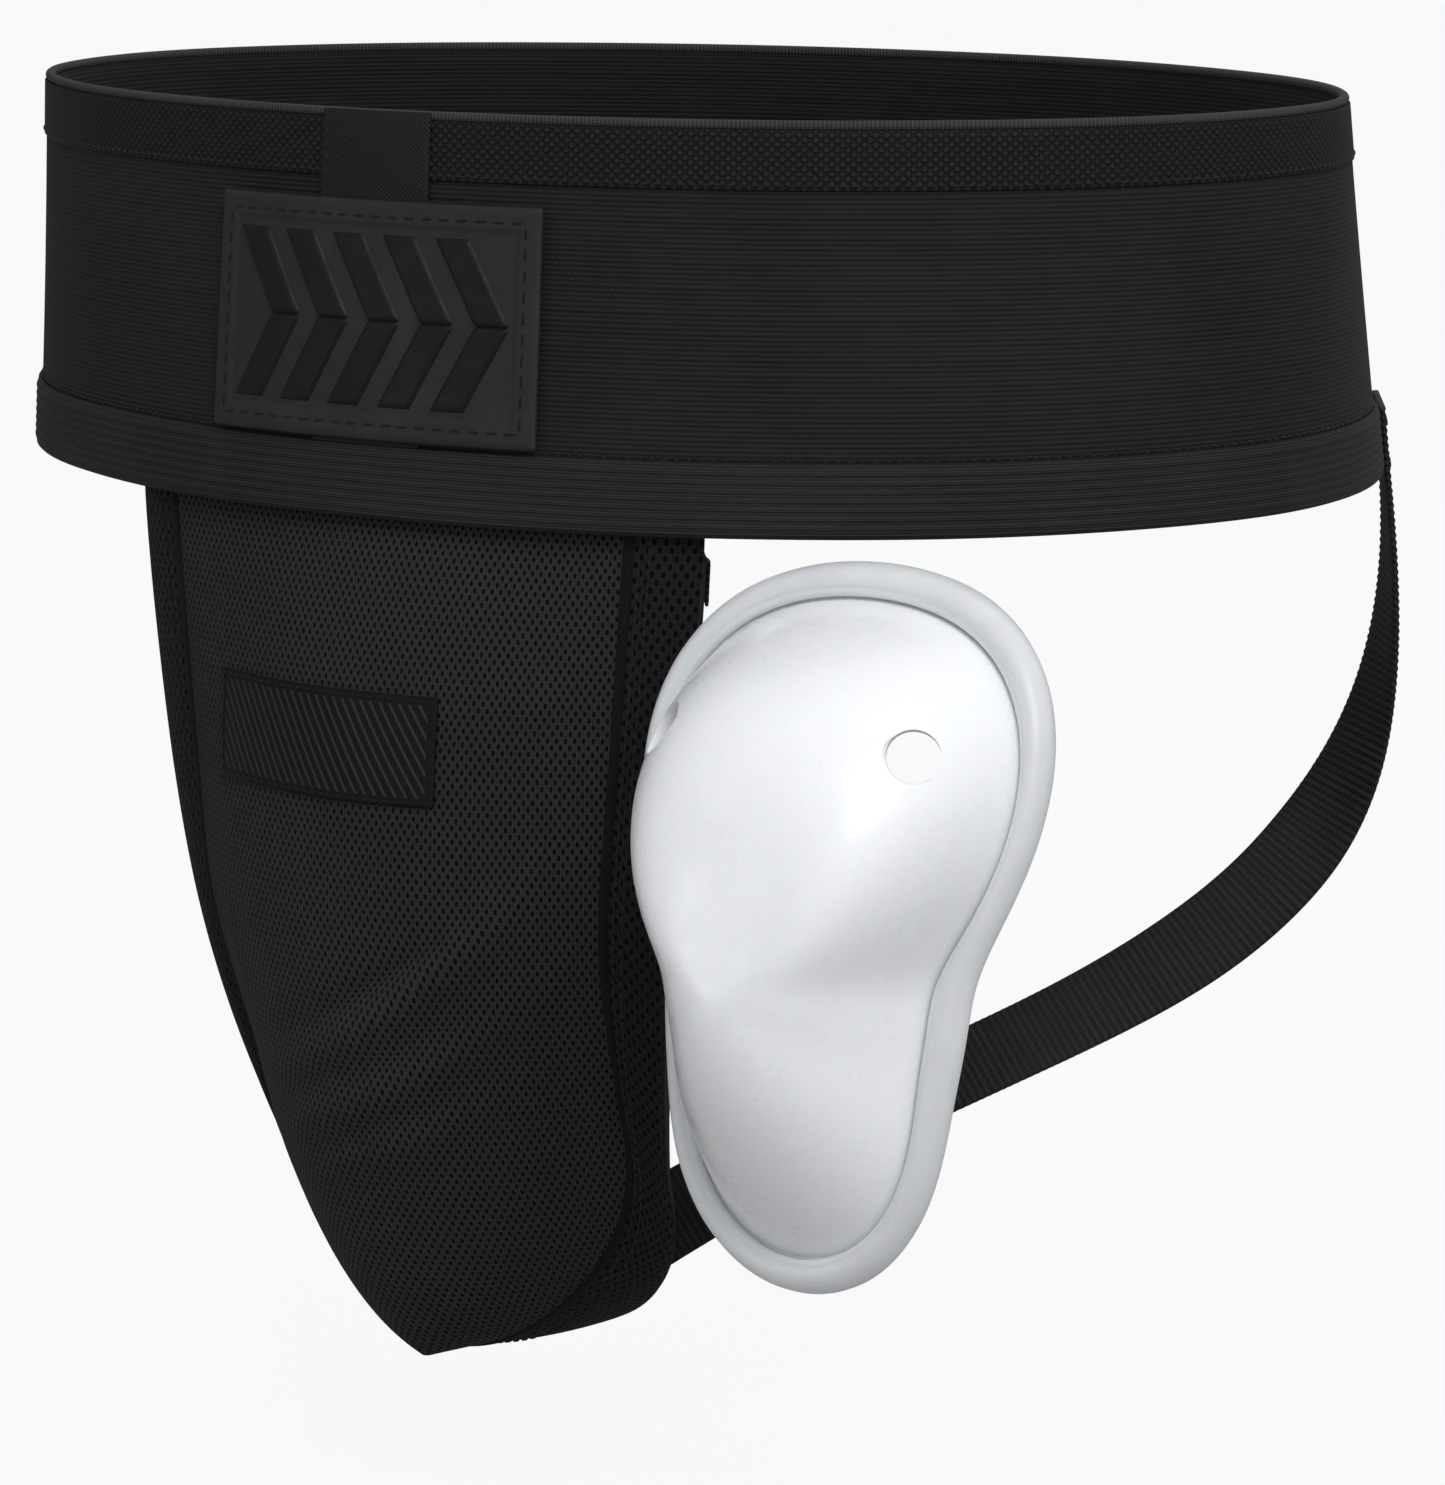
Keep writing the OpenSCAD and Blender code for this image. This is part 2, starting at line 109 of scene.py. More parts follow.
def add_studio():
    world = bpy.data.worlds.new("studio")
    bpy.context.scene.world = world
    world.use_nodes = True
    nt = world.node_tree
    nt.nodes.clear()
    out = nt.nodes.new("ShaderNodeOutputWorld")
    light = nt.nodes.new("ShaderNodeBackground")
    light.inputs["Color"].default_value = (0.97, 0.98, 1, 1)
    # The room is brighter above and to the right of the view, and dim on the left and below
    where = nt.nodes.new("ShaderNodeTexCoord")
    toward = nt.nodes.new("ShaderNodeVectorMath")
    toward.operation = "DOT_PRODUCT"
    toward.inputs[1].default_value = back_of(62, 46)
    nt.links.new(where.outputs["Generated"], toward.inputs[0])
    ramp = nt.nodes.new("ShaderNodeMapRange")
    for key, value in (("From Min", -0.75), ("From Max", 1), ("To Min", 0.1), ("To Max", 0.85)):
        ramp.inputs[key].default_value = value
    nt.links.new(toward.outputs["Value"], ramp.inputs["Value"])
    nt.links.new(ramp.outputs["Result"], light.inputs["Strength"])
    seen = nt.nodes.new("ShaderNodeBackground")
    seen.inputs["Color"].default_value = (1, 1, 1, 1)
    seen.inputs["Strength"].default_value = 1.0
    path = nt.nodes.new("ShaderNodeLightPath")
    mix = nt.nodes.new("ShaderNodeMixShader")
    nt.links.new(path.outputs["Is Camera Ray"], mix.inputs[0])
    nt.links.new(light.outputs[0], mix.inputs[1])
    nt.links.new(seen.outputs[0], mix.inputs[2])
    nt.links.new(mix.outputs[0], out.inputs["Surface"])
    add_area("key", 48, 42, 1.6, (0.9, 0.7), 13, (1, 0.99, 0.98))
    add_area("side", -28, 4, 1.3, (0.16, 0.5), 0.9, (0.97, 0.98, 1))
    add_area("back", 205, 40, 1.6, (1.4, 0.8), 3.5)
    bpy.context.scene.view_settings.view_transform = "Standard"


def add_floor():
    n, radius = 96, 30
    ring = [(radius * math.cos(TAU * i / n), radius * math.sin(TAU * i / n), 0) for i in range(n)]
    mesh = bpy.data.meshes.new("floor")
    mesh.from_pydata([(0, 0, 0)] + ring, [], [(0, i + 1, (i + 1) % n + 1) for i in range(n)])
    floor = add_object("floor", mesh)
    floor.location = (0, 0, FLOOR_Z)
    mat = bpy.data.materials.new("pale_floor")
    mat.use_nodes = True
    nt = mat.node_tree
    shader = nt.nodes["Principled BSDF"]
    shader.inputs["Base Color"].default_value = (0.4, 0.4, 0.4, 1)
    shader.inputs["Roughness"].default_value = 0.9
    glow = nt.nodes.new("ShaderNodeEmission")
    path = nt.nodes.new("ShaderNodeLightPath")
    seen = nt.nodes.new("ShaderNodeMath")
    seen.operation = "MULTIPLY"
    seen.inputs[1].default_value = 0.92
    mix = nt.nodes.new("ShaderNodeMixShader")
    nt.links.new(path.outputs["Is Camera Ray"], seen.inputs[0])
    nt.links.new(seen.outputs[0], mix.inputs[0])
    nt.links.new(shader.outputs[0], mix.inputs[1])
    nt.links.new(glow.outputs[0], mix.inputs[2])
    nt.links.new(mix.outputs[0], nt.nodes["Material Output"].inputs["Surface"])
    mesh.materials.append(mat)


# ---------------------------------------------------------------- materials
class Look:
    """A Principled material whose patterns read the piece's own cloth coordinates, in mm."""

    def __init__(self, name, roughness, **sockets):
        self.mat = bpy.data.materials.new(name)
        self.mat.use_nodes = True
        self.nt = self.mat.node_tree
        self.shader = self.nt.nodes["Principled BSDF"]
        self.shader.inputs["Roughness"].default_value = roughness
        for key, value in sockets.items():
            self.shader.inputs[key.replace("_", " ")].default_value = value

    def put(self, socket, value):
        if isinstance(value, bpy.types.NodeSocket):
            self.nt.links.new(value, socket)
        elif value is not None:
            socket.default_value = value

    def node(self, kind, **values):
        made = self.nt.nodes.new(kind)
        for key, value in values.items():
            setattr(made, key, value)
        return made

    def math(self, op, a, b=None, c=None, clamp=False):
        made = self.node("ShaderNodeMath", operation=op, use_clamp=clamp)
        for socket, value in zip(made.inputs, (a, b, c)):
            self.put(socket, value)
        return made.outputs[0]

    def uv(self):
        pin = self.node("ShaderNodeUVMap", uv_map="Cloth")
        split = self.node("ShaderNodeSeparateXYZ")
        self.nt.links.new(pin.outputs[0], split.inputs[0])
        return split.outputs[0], split.outputs[1]

    def spot(self):
        return self.node("ShaderNodeTexCoord").outputs["Object"]

    def point(self, x, y, z=0.0):
        made = self.node("ShaderNodeCombineXYZ")
        for socket, value in zip(made.inputs, (x, y, z)):
            self.put(socket, value)
        return made.outputs[0]

    def noise(self, where, scale, detail=3.0, roughness=0.5):
        made = self.node("ShaderNodeTexNoise")
        self.nt.links.new(where, made.inputs["Vector"])
        made.inputs["Scale"].default_value = scale
        made.inputs["Detail"].default_value = detail
        made.inputs["Roughness"].default_value = roughness
        return made.outputs["Fac"]

    def wave(self, x, period, shift=0.0):
        return self.math("COSINE", self.math("MULTIPLY_ADD", x, TAU / period, shift))

    def step(self, x, low, high, to_low=0.0, to_high=1.0):
        made = self.node("ShaderNodeMapRange", interpolation_type="SMOOTHSTEP")
        for key, value in (("Value", x), ("From Min", low), ("From Max", high),
                           ("To Min", to_low), ("To Max", to_high)):
            self.put(made.inputs[key], value)
        return made.outputs["Result"]

    def mix(self, fac, a, b):
        made = self.node("ShaderNodeMix", data_type="RGBA")
        self.put(made.inputs["Factor"], fac)
        for socket, value in ((made.inputs[6], a), (made.inputs[7], b)):
            self.put(socket, (*value, 1) if isinstance(value, tuple) else value)
        return made.outputs[2]

    def color(self, value):
        self.nt.links.new(value, self.shader.inputs["Base Color"])

    def rough(self, value):
        self.nt.links.new(value, self.shader.inputs["Roughness"])

    def bump(self, height, depth_mm, after=None):
        made = self.node("ShaderNodeBump")
        made.inputs["Strength"].default_value = 1
        made.inputs["Distance"].default_value = depth_mm * MM
        self.nt.links.new(height, made.inputs["Height"])
        if after is not None:
            self.nt.links.new(after, made.inputs["Normal"])
        self.nt.links.new(made.outputs[0], self.shader.inputs["Normal"])
        return made.outputs[0]

    def lint(self, amount=1.0):
        """Soft, large variation with a few pale specks, 0 to 1."""
        where = self.spot()
        broad = self.step(self.noise(where, 18, 3), 0.3, 0.75)
        specks = self.step(self.noise(where, 900, 1, 0.4), 0.72, 0.8)
        both = self.math("MULTIPLY_ADD", specks, 0.5 * amount, broad)
        return self.math("MINIMUM", both, 1.0)


def grey(v, tint=0.03):
    return (v, v, v * (1 + tint))


def weave_look():
    """Plain woven elastic: fine ribs run round the band, crossed by short picks."""
    k = Look("band_elastic", 0.82, Sheen_Weight=0.02, Sheen_Roughness=0.5, Specular_IOR_Level=0.1)
    u, v = k.uv()
    rib = k.wave(v, 1.05)
    picks = k.math("MULTIPLY", k.wave(u, 1.5), k.wave(v, 2.1))
    height = k.math("MULTIPLY_ADD", picks, 0.5, rib)
    streak = k.noise(k.point(k.math("MULTIPLY", u, 0.012), k.math("MULTIPLY", v, 0.55)), 1, 4, 0.6)
    # Colour follows the rib and pick height: painted shade in the troughs, painted highlight on the
    # crests
    tone = k.mix(k.step(height, -1.2, 1.4), grey(0.0052), grey(0.0165))
    tone = k.mix(k.step(streak, 0.35, 0.7), tone, grey(0.0125))
    k.color(k.mix(k.math("MULTIPLY", k.lint(), 0.35), tone, grey(0.02)))
    k.bump(height, 0.09)
    return k.mat


def grip_look():
    """Raised diamond weave of the inner grip tape where it folds over the top."""
    k = Look("grip_weave", 0.6, Specular_IOR_Level=0.12)
    u, v = k.uv()
    a = k.math("ABSOLUTE", k.wave(k.math("ADD", u, k.math("MULTIPLY", v, 1.15)), 4.6))
    b = k.math("ABSOLUTE", k.wave(k.math("SUBTRACT", u, k.math("MULTIPLY", v, 1.15)), 4.6))
    height = k.step(k.math("MULTIPLY", a, b), 0.12, 0.6)
    fine = k.noise(k.point(u, v), 1.3, 2)
    # The sunk ground between the raised diamonds is painted darker: painted shade in the recesses,
    # painted highlight on the diamonds
    tone = k.mix(height, grey(0.0022), grey(0.0125))
    k.color(k.mix(k.math("MULTIPLY", fine, 0.35), tone, grey(0.016)))
    k.bump(k.math("MULTIPLY_ADD", fine, 0.25, height), 0.35)
    return k.mat


def rib_look(name, period, low, high, cross=0.8, depth=0.12, rough=0.75):
    """Elastic with ribs across its v direction and fine picks along them."""
    k = Look(name, rough, Sheen_Weight=0.02, Sheen_Roughness=0.5, Specular_IOR_Level=0.12)
    u, v = k.uv()
    rib = k.wave(v, period)
    picks = k.wave(u, cross)
    height = k.math("MULTIPLY_ADD", picks, 0.22, rib)
    streak = k.noise(k.point(k.math("MULTIPLY", u, 0.05), k.math("MULTIPLY", v, 0.8)), 1, 4, 0.6)
    # Colour follows the rib height: painted shade in the troughs, painted highlight on the crests
    tone = k.mix(k.step(height, -1.0, 1.1), grey(low), grey(high))
    tone = k.mix(k.math("MULTIPLY", k.step(streak, 0.3, 0.75), 0.5), tone, grey(low * 1.4))
    k.color(k.mix(k.math("MULTIPLY", k.lint(), 0.25), tone, grey(high * 1.2)))
    k.bump(height, depth)
    return k.mat


def knit_look(name, across, down, base, hole_shade, rough=0.8, depth=0.35):
    """Athletic mesh: upright slits in rows that are set half a step from each other. The slits are
    painted near black as painted shade seen through the openings, and the yarn crests carry a painted
    highlight.
    """
    k = Look(name, rough, Sheen_Weight=0.02, Sheen_Roughness=0.45, Specular_IOR_Level=0.1)
    u, v = k.uv()
    drift = k.noise(k.point(u, v), 0.05, 2)
    u2 = k.math("MULTIPLY_ADD", drift, 1.2, u)
    field = k.math("MULTIPLY", k.wave(u2, across), k.wave(v, down))
    slit = k.step(field, 0.18, 0.62)
    strands = k.wave(u2, across / 4)
    height = k.math("MULTIPLY_ADD", strands, 0.12, k.math("SUBTRACT", 1.0, slit))
    # Painted highlight on the raised yarn crests, painted shade between them
    yarn = k.mix(k.step(strands, -1, 1), grey(base * 0.72), grey(base * 1.25))
    yarn = k.mix(k.math("MULTIPLY", k.lint(), 0.3), yarn, grey(base * 1.6))
    # The slits are painted near black: painted shade seen through the openings
    k.color(k.mix(slit, yarn, grey(hole_shade)))
    k.rough(k.step(slit, 0, 1, rough, 0.95))
    k.bump(height, depth)
    return k.mat


def plain_look(name, value, rough=0.8, scale=1.1, sheen=0.02, depth=0.06):
    """Smooth tape or thread with a fine twill."""
    k = Look(name, rough, Sheen_Weight=sheen, Sheen_Roughness=0.5, Specular_IOR_Level=0.12)
    u, v = k.uv()
    twill = k.wave(k.math("ADD", u, v), scale)
    # Colour follows the twill height: painted shade in the grooves, painted highlight on the crests
    tone = k.mix(k.step(twill, -1, 1), grey(value * 0.65), grey(value * 1.2))
    k.color(k.mix(k.math("MULTIPLY", k.lint(), 0.4), tone, grey(value * 1.7)))
    k.bump(twill, depth)
    return k.mat


def label_look():
    """Woven satin label: thin slanted stripes inside a plain border."""
    k = Look("woven_label", 0.6, Specular_IOR_Level=0.15)
    u, v = k.uv()
    stripe = k.step(k.wave(k.math("ADD", u, k.math("MULTIPLY", v, 0.62)), 2.35), 0.35, 0.75)
    side = k.math("SUBTRACT", LABEL_W / 2 - 1.6, k.math("ABSOLUTE", u))
    end = k.math("SUBTRACT", LABEL_H / 2 - 1.5, k.math("ABSOLUTE", v))
    inside = k.step(k.math("MINIMUM", side, end), 0.0, 0.25)
    lit = k.math("MULTIPLY", stripe, inside)
    satin = k.wave(v, 0.45)
    # The satin wave is painted into the ground colour: painted highlight on its crests, painted shade
    # between them
    tone = k.mix(k.step(satin, -1, 1), grey(0.0018), grey(0.0042))
    k.color(k.mix(lit, tone, grey(0.024)))
    k.bump(k.math("MULTIPLY_ADD", satin, 0.2, lit), 0.12)
    return k.mat


def rubber_look(name, value, rough, grain=0.05):
    """Moulded soft PVC with a fine grain and rubbed, paler high spots."""
    k = Look(name, rough, Specular_IOR_Level=0.2)
    where = k.spot()
    fine = k.noise(where, 2600, 2)
    rub = k.step(k.noise(where, 60, 4, 0.6), 0.5, 0.72)
    k.color(k.mix(k.math("MULTIPLY", rub, 0.35), grey(value), grey(value * 1.45 + 0.002)))
    k.rough(k.step(k.noise(where, 140, 3), 0.3, 0.7, rough - 0.08, rough + 0.1))
    k.bump(fine, grain)
    return k.mat


def cup_look():
    """Injection-moulded shell: cool white, softly glossy, with faint flow marks."""
    k = Look("cup_plastic", 0.3, Specular_IOR_Level=0.5, Coat_Weight=0.25, Coat_Roughness=0.18,
             Subsurface_Weight=0.12, Subsurface_Scale=0.004)
    where = k.spot()
    flow = k.noise(where, 22, 4, 0.55)
    k.color(k.mix(k.step(flow, 0.3, 0.75), (0.80, 0.815, 0.84), (0.85, 0.86, 0.88)))
    k.rough(k.step(k.noise(where, 160, 3), 0.3, 0.75, 0.24, 0.4))
    k.bump(k.noise(where, 420, 3, 0.6), 0.03)
    return k.mat


def rim_look():
    """Soft, milky elastomer pushed over the shell's edge."""
    k = Look("soft_rim", 0.42, Specular_IOR_Level=0.5, Subsurface_Weight=0.35,
             Subsurface_Scale=0.006, Transmission_Weight=0.12)
    where = k.spot()
    cloud = k.noise(where, 40, 3)
    k.color(k.mix(k.step(cloud, 0.3, 0.75), (0.66, 0.68, 0.71), (0.73, 0.75, 0.77)))
    k.rough(k.step(k.noise(where, 300, 3), 0.3, 0.75, 0.34, 0.5))
    k.bump(k.noise(where, 900, 2), 0.02)
    return k.mat


# ---------------------------------------------------------------- mesh building
def unit(v):
    return v / np.maximum(np.linalg.norm(v, axis=-1, keepdims=True), 1e-12)


def ease(t):
    c = np.clip(t, 0, 1)
    return c * c * (3 - 2 * c)


def slopes(points, closed):
    if closed:
        ds = np.roll(points, -1, 0) - np.roll(points, 1, 0)
    else:
        ds = np.gradient(points, axis=0)
    return ds, np.gradient(points, axis=1)


def make_object(name, verts, faces, mat, uv=None, corners=None):
    mesh = bpy.data.meshes.new(name)
    mesh.from_pydata((np.asarray(verts) * MM).tolist(), [], faces.tolist())
    if uv is not None:
        layer = mesh.uv_layers.new(name="Cloth")
        layer.data.foreach_set("uv", uv[corners.ravel()].astype(np.float32).ravel())
    mesh.shade_smooth()
    mesh.materials.append(mat)
    mesh.validate()
    return add_object(name, mesh)


def shell(name, mat, points, t0, t1, uv, closed=False):
    """Closed sheet on a grid of points, between offsets t0 and t1 along ds x dk, with
    rounded edges. uv has one more column than points where the sheet is a ring."""
    ns, nk = points.shape[:2]
    ds, dk = slopes(points, closed)
    normal = unit(np.cross(ds, dk))
    t0, t1 = np.broadcast_to(t0, (ns, nk)), np.broadcast_to(t1, (ns, nk))
    outer, inner = points + normal * t1[..., None], points + normal * t0[..., None]
    along_s, along_k = unit(ds), unit(dk)
    cols = ns if closed else ns - 1
    i, j = np.meshgrid(np.arange(cols), np.arange(nk - 1), indexing="ij")

    def vert(a, b):
        return (a % ns) * nk + b

    def cloth(a, b):
        return a * nk + b

    quad = [(i, j), (i + 1, j), (i + 1, j + 1), (i, j + 1)]
    top = np.stack([vert(a, b) for a, b in quad], -1).reshape(-1, 4)
    top_uv = np.stack([cloth(a, b) for a, b in quad], -1).reshape(-1, 4)
    under = top[:, ::-1] + ns * nk
    faces, corners = [top, under], [top_uv, top_uv[:, ::-1]]
    if closed:
        line = np.arange(ns + 1)
        rims = [(line, 0 * line), (line[::-1], 0 * line + nk - 1)]
    else:
        a, b = np.arange(ns - 1), np.arange(nk - 1)
        rim_i = [a, 0 * b + ns - 1, a[::-1] + 1, 0 * b]
        rim_j = [0 * a, b, 0 * a + nk - 1, b[::-1] + 1]
        first = [np.array([0])]
        rims = [(np.concatenate(rim_i + first), np.concatenate(rim_j + first))]
    mids, count = [], 2 * ns * nk
    for ri, rj in rims:
        wi = ri % ns
        out = np.zeros((len(ri), 3))
        out -= along_k[wi, rj] * (rj == 0)[:, None]
        out += along_k[wi, rj] * (rj == nk - 1)[:, None]
        if not closed:
            out -= along_s[wi, rj] * (wi == 0)[:, None]
            out += along_s[wi, rj] * (wi == ns - 1)[:, None]
        thick = np.abs(t1 - t0)[wi, rj][:, None]
        mid = (outer[wi, rj] + inner[wi, rj]) / 2 + unit(out) * thick * 0.42
        mids.append(mid[:-1])
        n = len(ri) - 1
        m0 = count + np.arange(n)
        m1 = count + (np.arange(n) + 1) % n
        p, q = vert(ri[:-1], rj[:-1]), vert(ri[1:], rj[1:])
        cp, cq = cloth(ri[:-1], rj[:-1]), cloth(ri[1:], rj[1:])
        faces += [np.stack([p, m0, m1, q], -1), np.stack([m0, p + ns * nk, q + ns * nk, m1], -1)]
        corners += [np.stack([cp, cp, cq, cq], -1)] * 2
        count += n
    verts = np.concatenate([outer.reshape(-1, 3), inner.reshape(-1, 3)] + mids)
    return make_object(name, verts, np.concatenate(faces), mat,
                       np.asarray(uv, float).reshape(-1, 2), np.concatenate(corners))


def swept(name, mat, sections, uv_len, uv_around, closed=False):
    """Closed solid from sections of equal length along a path, with flat ends."""
    n, m = sections.shape[:2]
    i, j = np.meshgrid(np.arange(n if closed else n - 1), np.arange(m), indexing="ij")
    quad = [(i, j), (i, j + 1), (i + 1, j + 1), (i + 1, j)]
    faces = np.stack([(a % n) * m + b % m for a, b in quad], -1).reshape(-1, 4)
    corners = np.stack([a * (m + 1) + b for a, b in quad], -1).reshape(-1, 4)
    verts = sections.reshape(-1, 3)
    if not closed:
        extra = []
        for end, row in ((0, 0), (1, n - 1)):
            half = m // 2
            for c in range(half - 1):
                q = [c, c + 1, m - 2 - c, m - 1 - c]
                q = q[::-1] if end == 0 else q
                extra.append([[row * m + x for x in q], [row * (m + 1) + x for x in q]])
        extra = np.array(extra)
        faces = np.concatenate([faces, extra[:, 0]])
        corners = np.concatenate([corners, extra[:, 1]])
    grid = np.stack(np.meshgrid(uv_around, uv_len, indexing="xy"), -1)
    return make_object(name, verts, faces, mat, grid.reshape(-1, 2), corners)


def path_frames(points, normals):
    tangent = unit(np.gradient(points, axis=0))
    side = unit(np.cross(normals, tangent))
    return side, unit(np.cross(tangent, side))


def arc(points):
    return np.concatenate([[0], np.cumsum(np.linalg.norm(np.diff(points, axis=0), axis=1))])


def resample(points, n):
    length = arc(points)
    at = np.linspace(0, length[-1], n)
    return np.stack([np.interp(at, length, points[:, c]) for c in range(3)], -1)


def tube(name, mat, points, normals, half_w, half_h, around=12, closed=False):
    """Rounded bead along a path: half_w across the surface and half_h out of it."""
    side, up = path_frames(points, normals)
    a = np.linspace(0, TAU, around, endpoint=False)
    ring = (side[:, None] * np.cos(a)[:, None] * half_w + up[:, None] * np.sin(a)[:, None] * half_h)
    uv_around = np.linspace(0, 4 * (half_w + half_h), around + 1)
    length = arc(points)
    if closed:
        length = np.append(length, length[-1] + np.linalg.norm(points[-1] - points[0]))
    return swept(name, mat, points[:, None] + ring, length, uv_around, closed)


def capsule():
    """Unit stitch: a rounded grain along x, with z up."""
    rows, around = 5, 8
    verts, faces = [(-1, 0, 0)], []
    for r in range(1, rows):
        x = -math.cos(math.pi * r / rows)
        s = math.sin(math.pi * r / rows) ** 0.7
        verts += [(x, s * math.cos(TAU * c / around), s * math.sin(TAU * c / around))
                  for c in range(around)]
    verts.append((1, 0, 0))
    last = len(verts) - 1
    for c in range(around):
        d = (c + 1) % around
        faces.append((0, 1 + d, 1 + c, 1 + c))
        for r in range(rows - 2):
            o = 1 + r * around
            faces.append((o + c, o + d, o + around + d, o + around + c))
        o = 1 + (rows - 2) * around
        faces.append((o + c, o + d, last, last))
    return np.array(verts, float), np.array(faces)


def stitches(name, mat, runs, pitch, length, width, height):
    """Rows of thread along runs of (points, normals), as one mesh of rounded grains."""
    base, faces = capsule()
    all_v, all_f, count = [], [], 0
    for points, normals in runs:
        along = arc(points)
        n = max(1, int(along[-1] / pitch))
        at = (np.arange(n) + 0.5) * along[-1] / n
        p = np.stack([np.interp(at, along, points[:, c]) for c in range(3)], -1)
        up = unit(np.stack([np.interp(at, along, normals[:, c]) for c in range(3)], -1))
        ahead = np.stack([np.interp(at + 0.2, along, points[:, c]) for c in range(3)], -1)
        behind = np.stack([np.interp(at - 0.2, along, points[:, c]) for c in range(3)], -1)
        t = unit(ahead - behind)
        b = unit(np.cross(up, t))
        v = (p[:, None] + base[None, :, 0:1] * t[:, None] * length / 2
             + base[None, :, 1:2] * b[:, None] * width / 2
             + base[None, :, 2:3] * up[:, None] * height)
        all_v.append(v.reshape(-1, 3))
        shift = (np.arange(n) * len(base) + count)[:, None, None]
        all_f.append((faces[None] + shift).reshape(-1, 4))
        count += n * len(base)
    verts, quads = np.concatenate(all_v), np.concatenate(all_f)
    polys = [q[:3] if q[2] == q[3] else q for q in quads.tolist()]
    mesh = bpy.data.meshes.new(name)
    mesh.from_pydata((verts * MM).tolist(), [], polys)
    layer = mesh.uv_layers.new(name="Cloth")
    local = np.tile(base[:, :2] * [length / 2, width / 2], (len(verts) // len(base), 1))
    index = np.zeros(len(mesh.loops), np.int32)
    mesh.loops.foreach_get("vertex_index", index)
    layer.data.foreach_set("uv", local[index].astype(np.float32).ravel())
    mesh.shade_smooth()
    mesh.materials.append(mat)
    return add_object(name, mesh)


def settle(made, body, slot, *nodes):
    """Rides the piece on its body and hides the CAD solids it stands for; slot, the finish, is not
    used.
    """
    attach(made, body)
    if nodes:
        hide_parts(*nodes)
    return made


# ---------------------------------------------------------------- waistband
def band_face(angle, z):
    """Outer face of the webbing, with the slight unevenness of worn elastic."""
    k = -z / BAND_H
    a = np.radians(angle)
    out = 0.35 * np.sin(5 * a + 0.7) * (0.4 + 0.6 * k) + 0.2 * np.sin(11 * a + 3 * k)
    x = (HALF_W + FLARE_W * k + out) * np.cos(a)
    y = (HALF_D + FLARE_D * k + out) * np.sin(a) + HIP_SHIFT * k
    return np.stack([x, y, z + 0 * a], -1)


def band_grid(angles, heights):
    s, k = np.meshgrid(angles, heights, indexing="ij")
    return band_face(s, k)


def band_girth(angles, z=-43.0):
    return arc(band_face(np.append(angles, angles[0] + 360.0), z + 0 * np.append(angles, 0.0)))


def ring_piece(name, mat, top, low, rows, t0, t1, n=360):
    """A band of elastic all round, from one height to a lower one. The grid runs upward."""
    angles = np.linspace(0, 360, n, endpoint=False)
    heights = np.linspace(low, top, rows)
    points = band_grid(angles, heights)
    girth = band_girth(angles)
    uv = np.stack(np.meshgrid(girth, heights, indexing="ij"), -1)
    share = (heights - low) / (top - low)
    t0, t1 = (np.asarray(t(share) if callable(t) else t + 0 * share) for t in (t0, t1))
    return shell(name, mat, points, t0[None, :], t1[None, :], uv, closed=True)


def front_angle(x):
    return -90 + np.degrees(np.arcsin(x / HALF_W))


def front_grid(xs, zs):
    return band_grid(front_angle(xs), zs)


def front_uv(xs, zs, x0=0.0, z0=0.0):
    return np.stack(np.meshgrid(xs - x0, zs - z0, indexing="ij"), -1)


def front_sheet(name, mat, x, z, nx, nz, t0, t1):
    xs, zs = np.linspace(*x, nx), np.linspace(*z, nz)
    return shell(name, mat, front_grid(xs, zs), t0, t1,
                 front_uv(xs, zs, sum(x) / 2, sum(z) / 2))


def band_line(angles, z, lift):
    """A path round the band at a height, lifted off the webbing, with its normals."""
    z = z + 0 * angles
    p = band_face(angles, z)
    n = unit(np.cross(band_face(angles + 0.5, z) - band_face(angles - 0.5, z),
                      band_face(angles, z + 0.5) - band_face(angles, z - 0.5)))
    return p + n * lift, n


def front_line(xs, zs, lift):
    return band_line(front_angle(np.asarray(xs, float)), np.asarray(zs, float), lift)


GRIP_T, TAPE_T, PATCH_T, LIFT = 0.5, 0.6, 1.4, 0.05
TAPE_OUT = GRIP_T + LIFT + TAPE_T
PATCH_IN = TAPE_OUT + LIFT
PATCH_OUT = PATCH_IN + PATCH_T


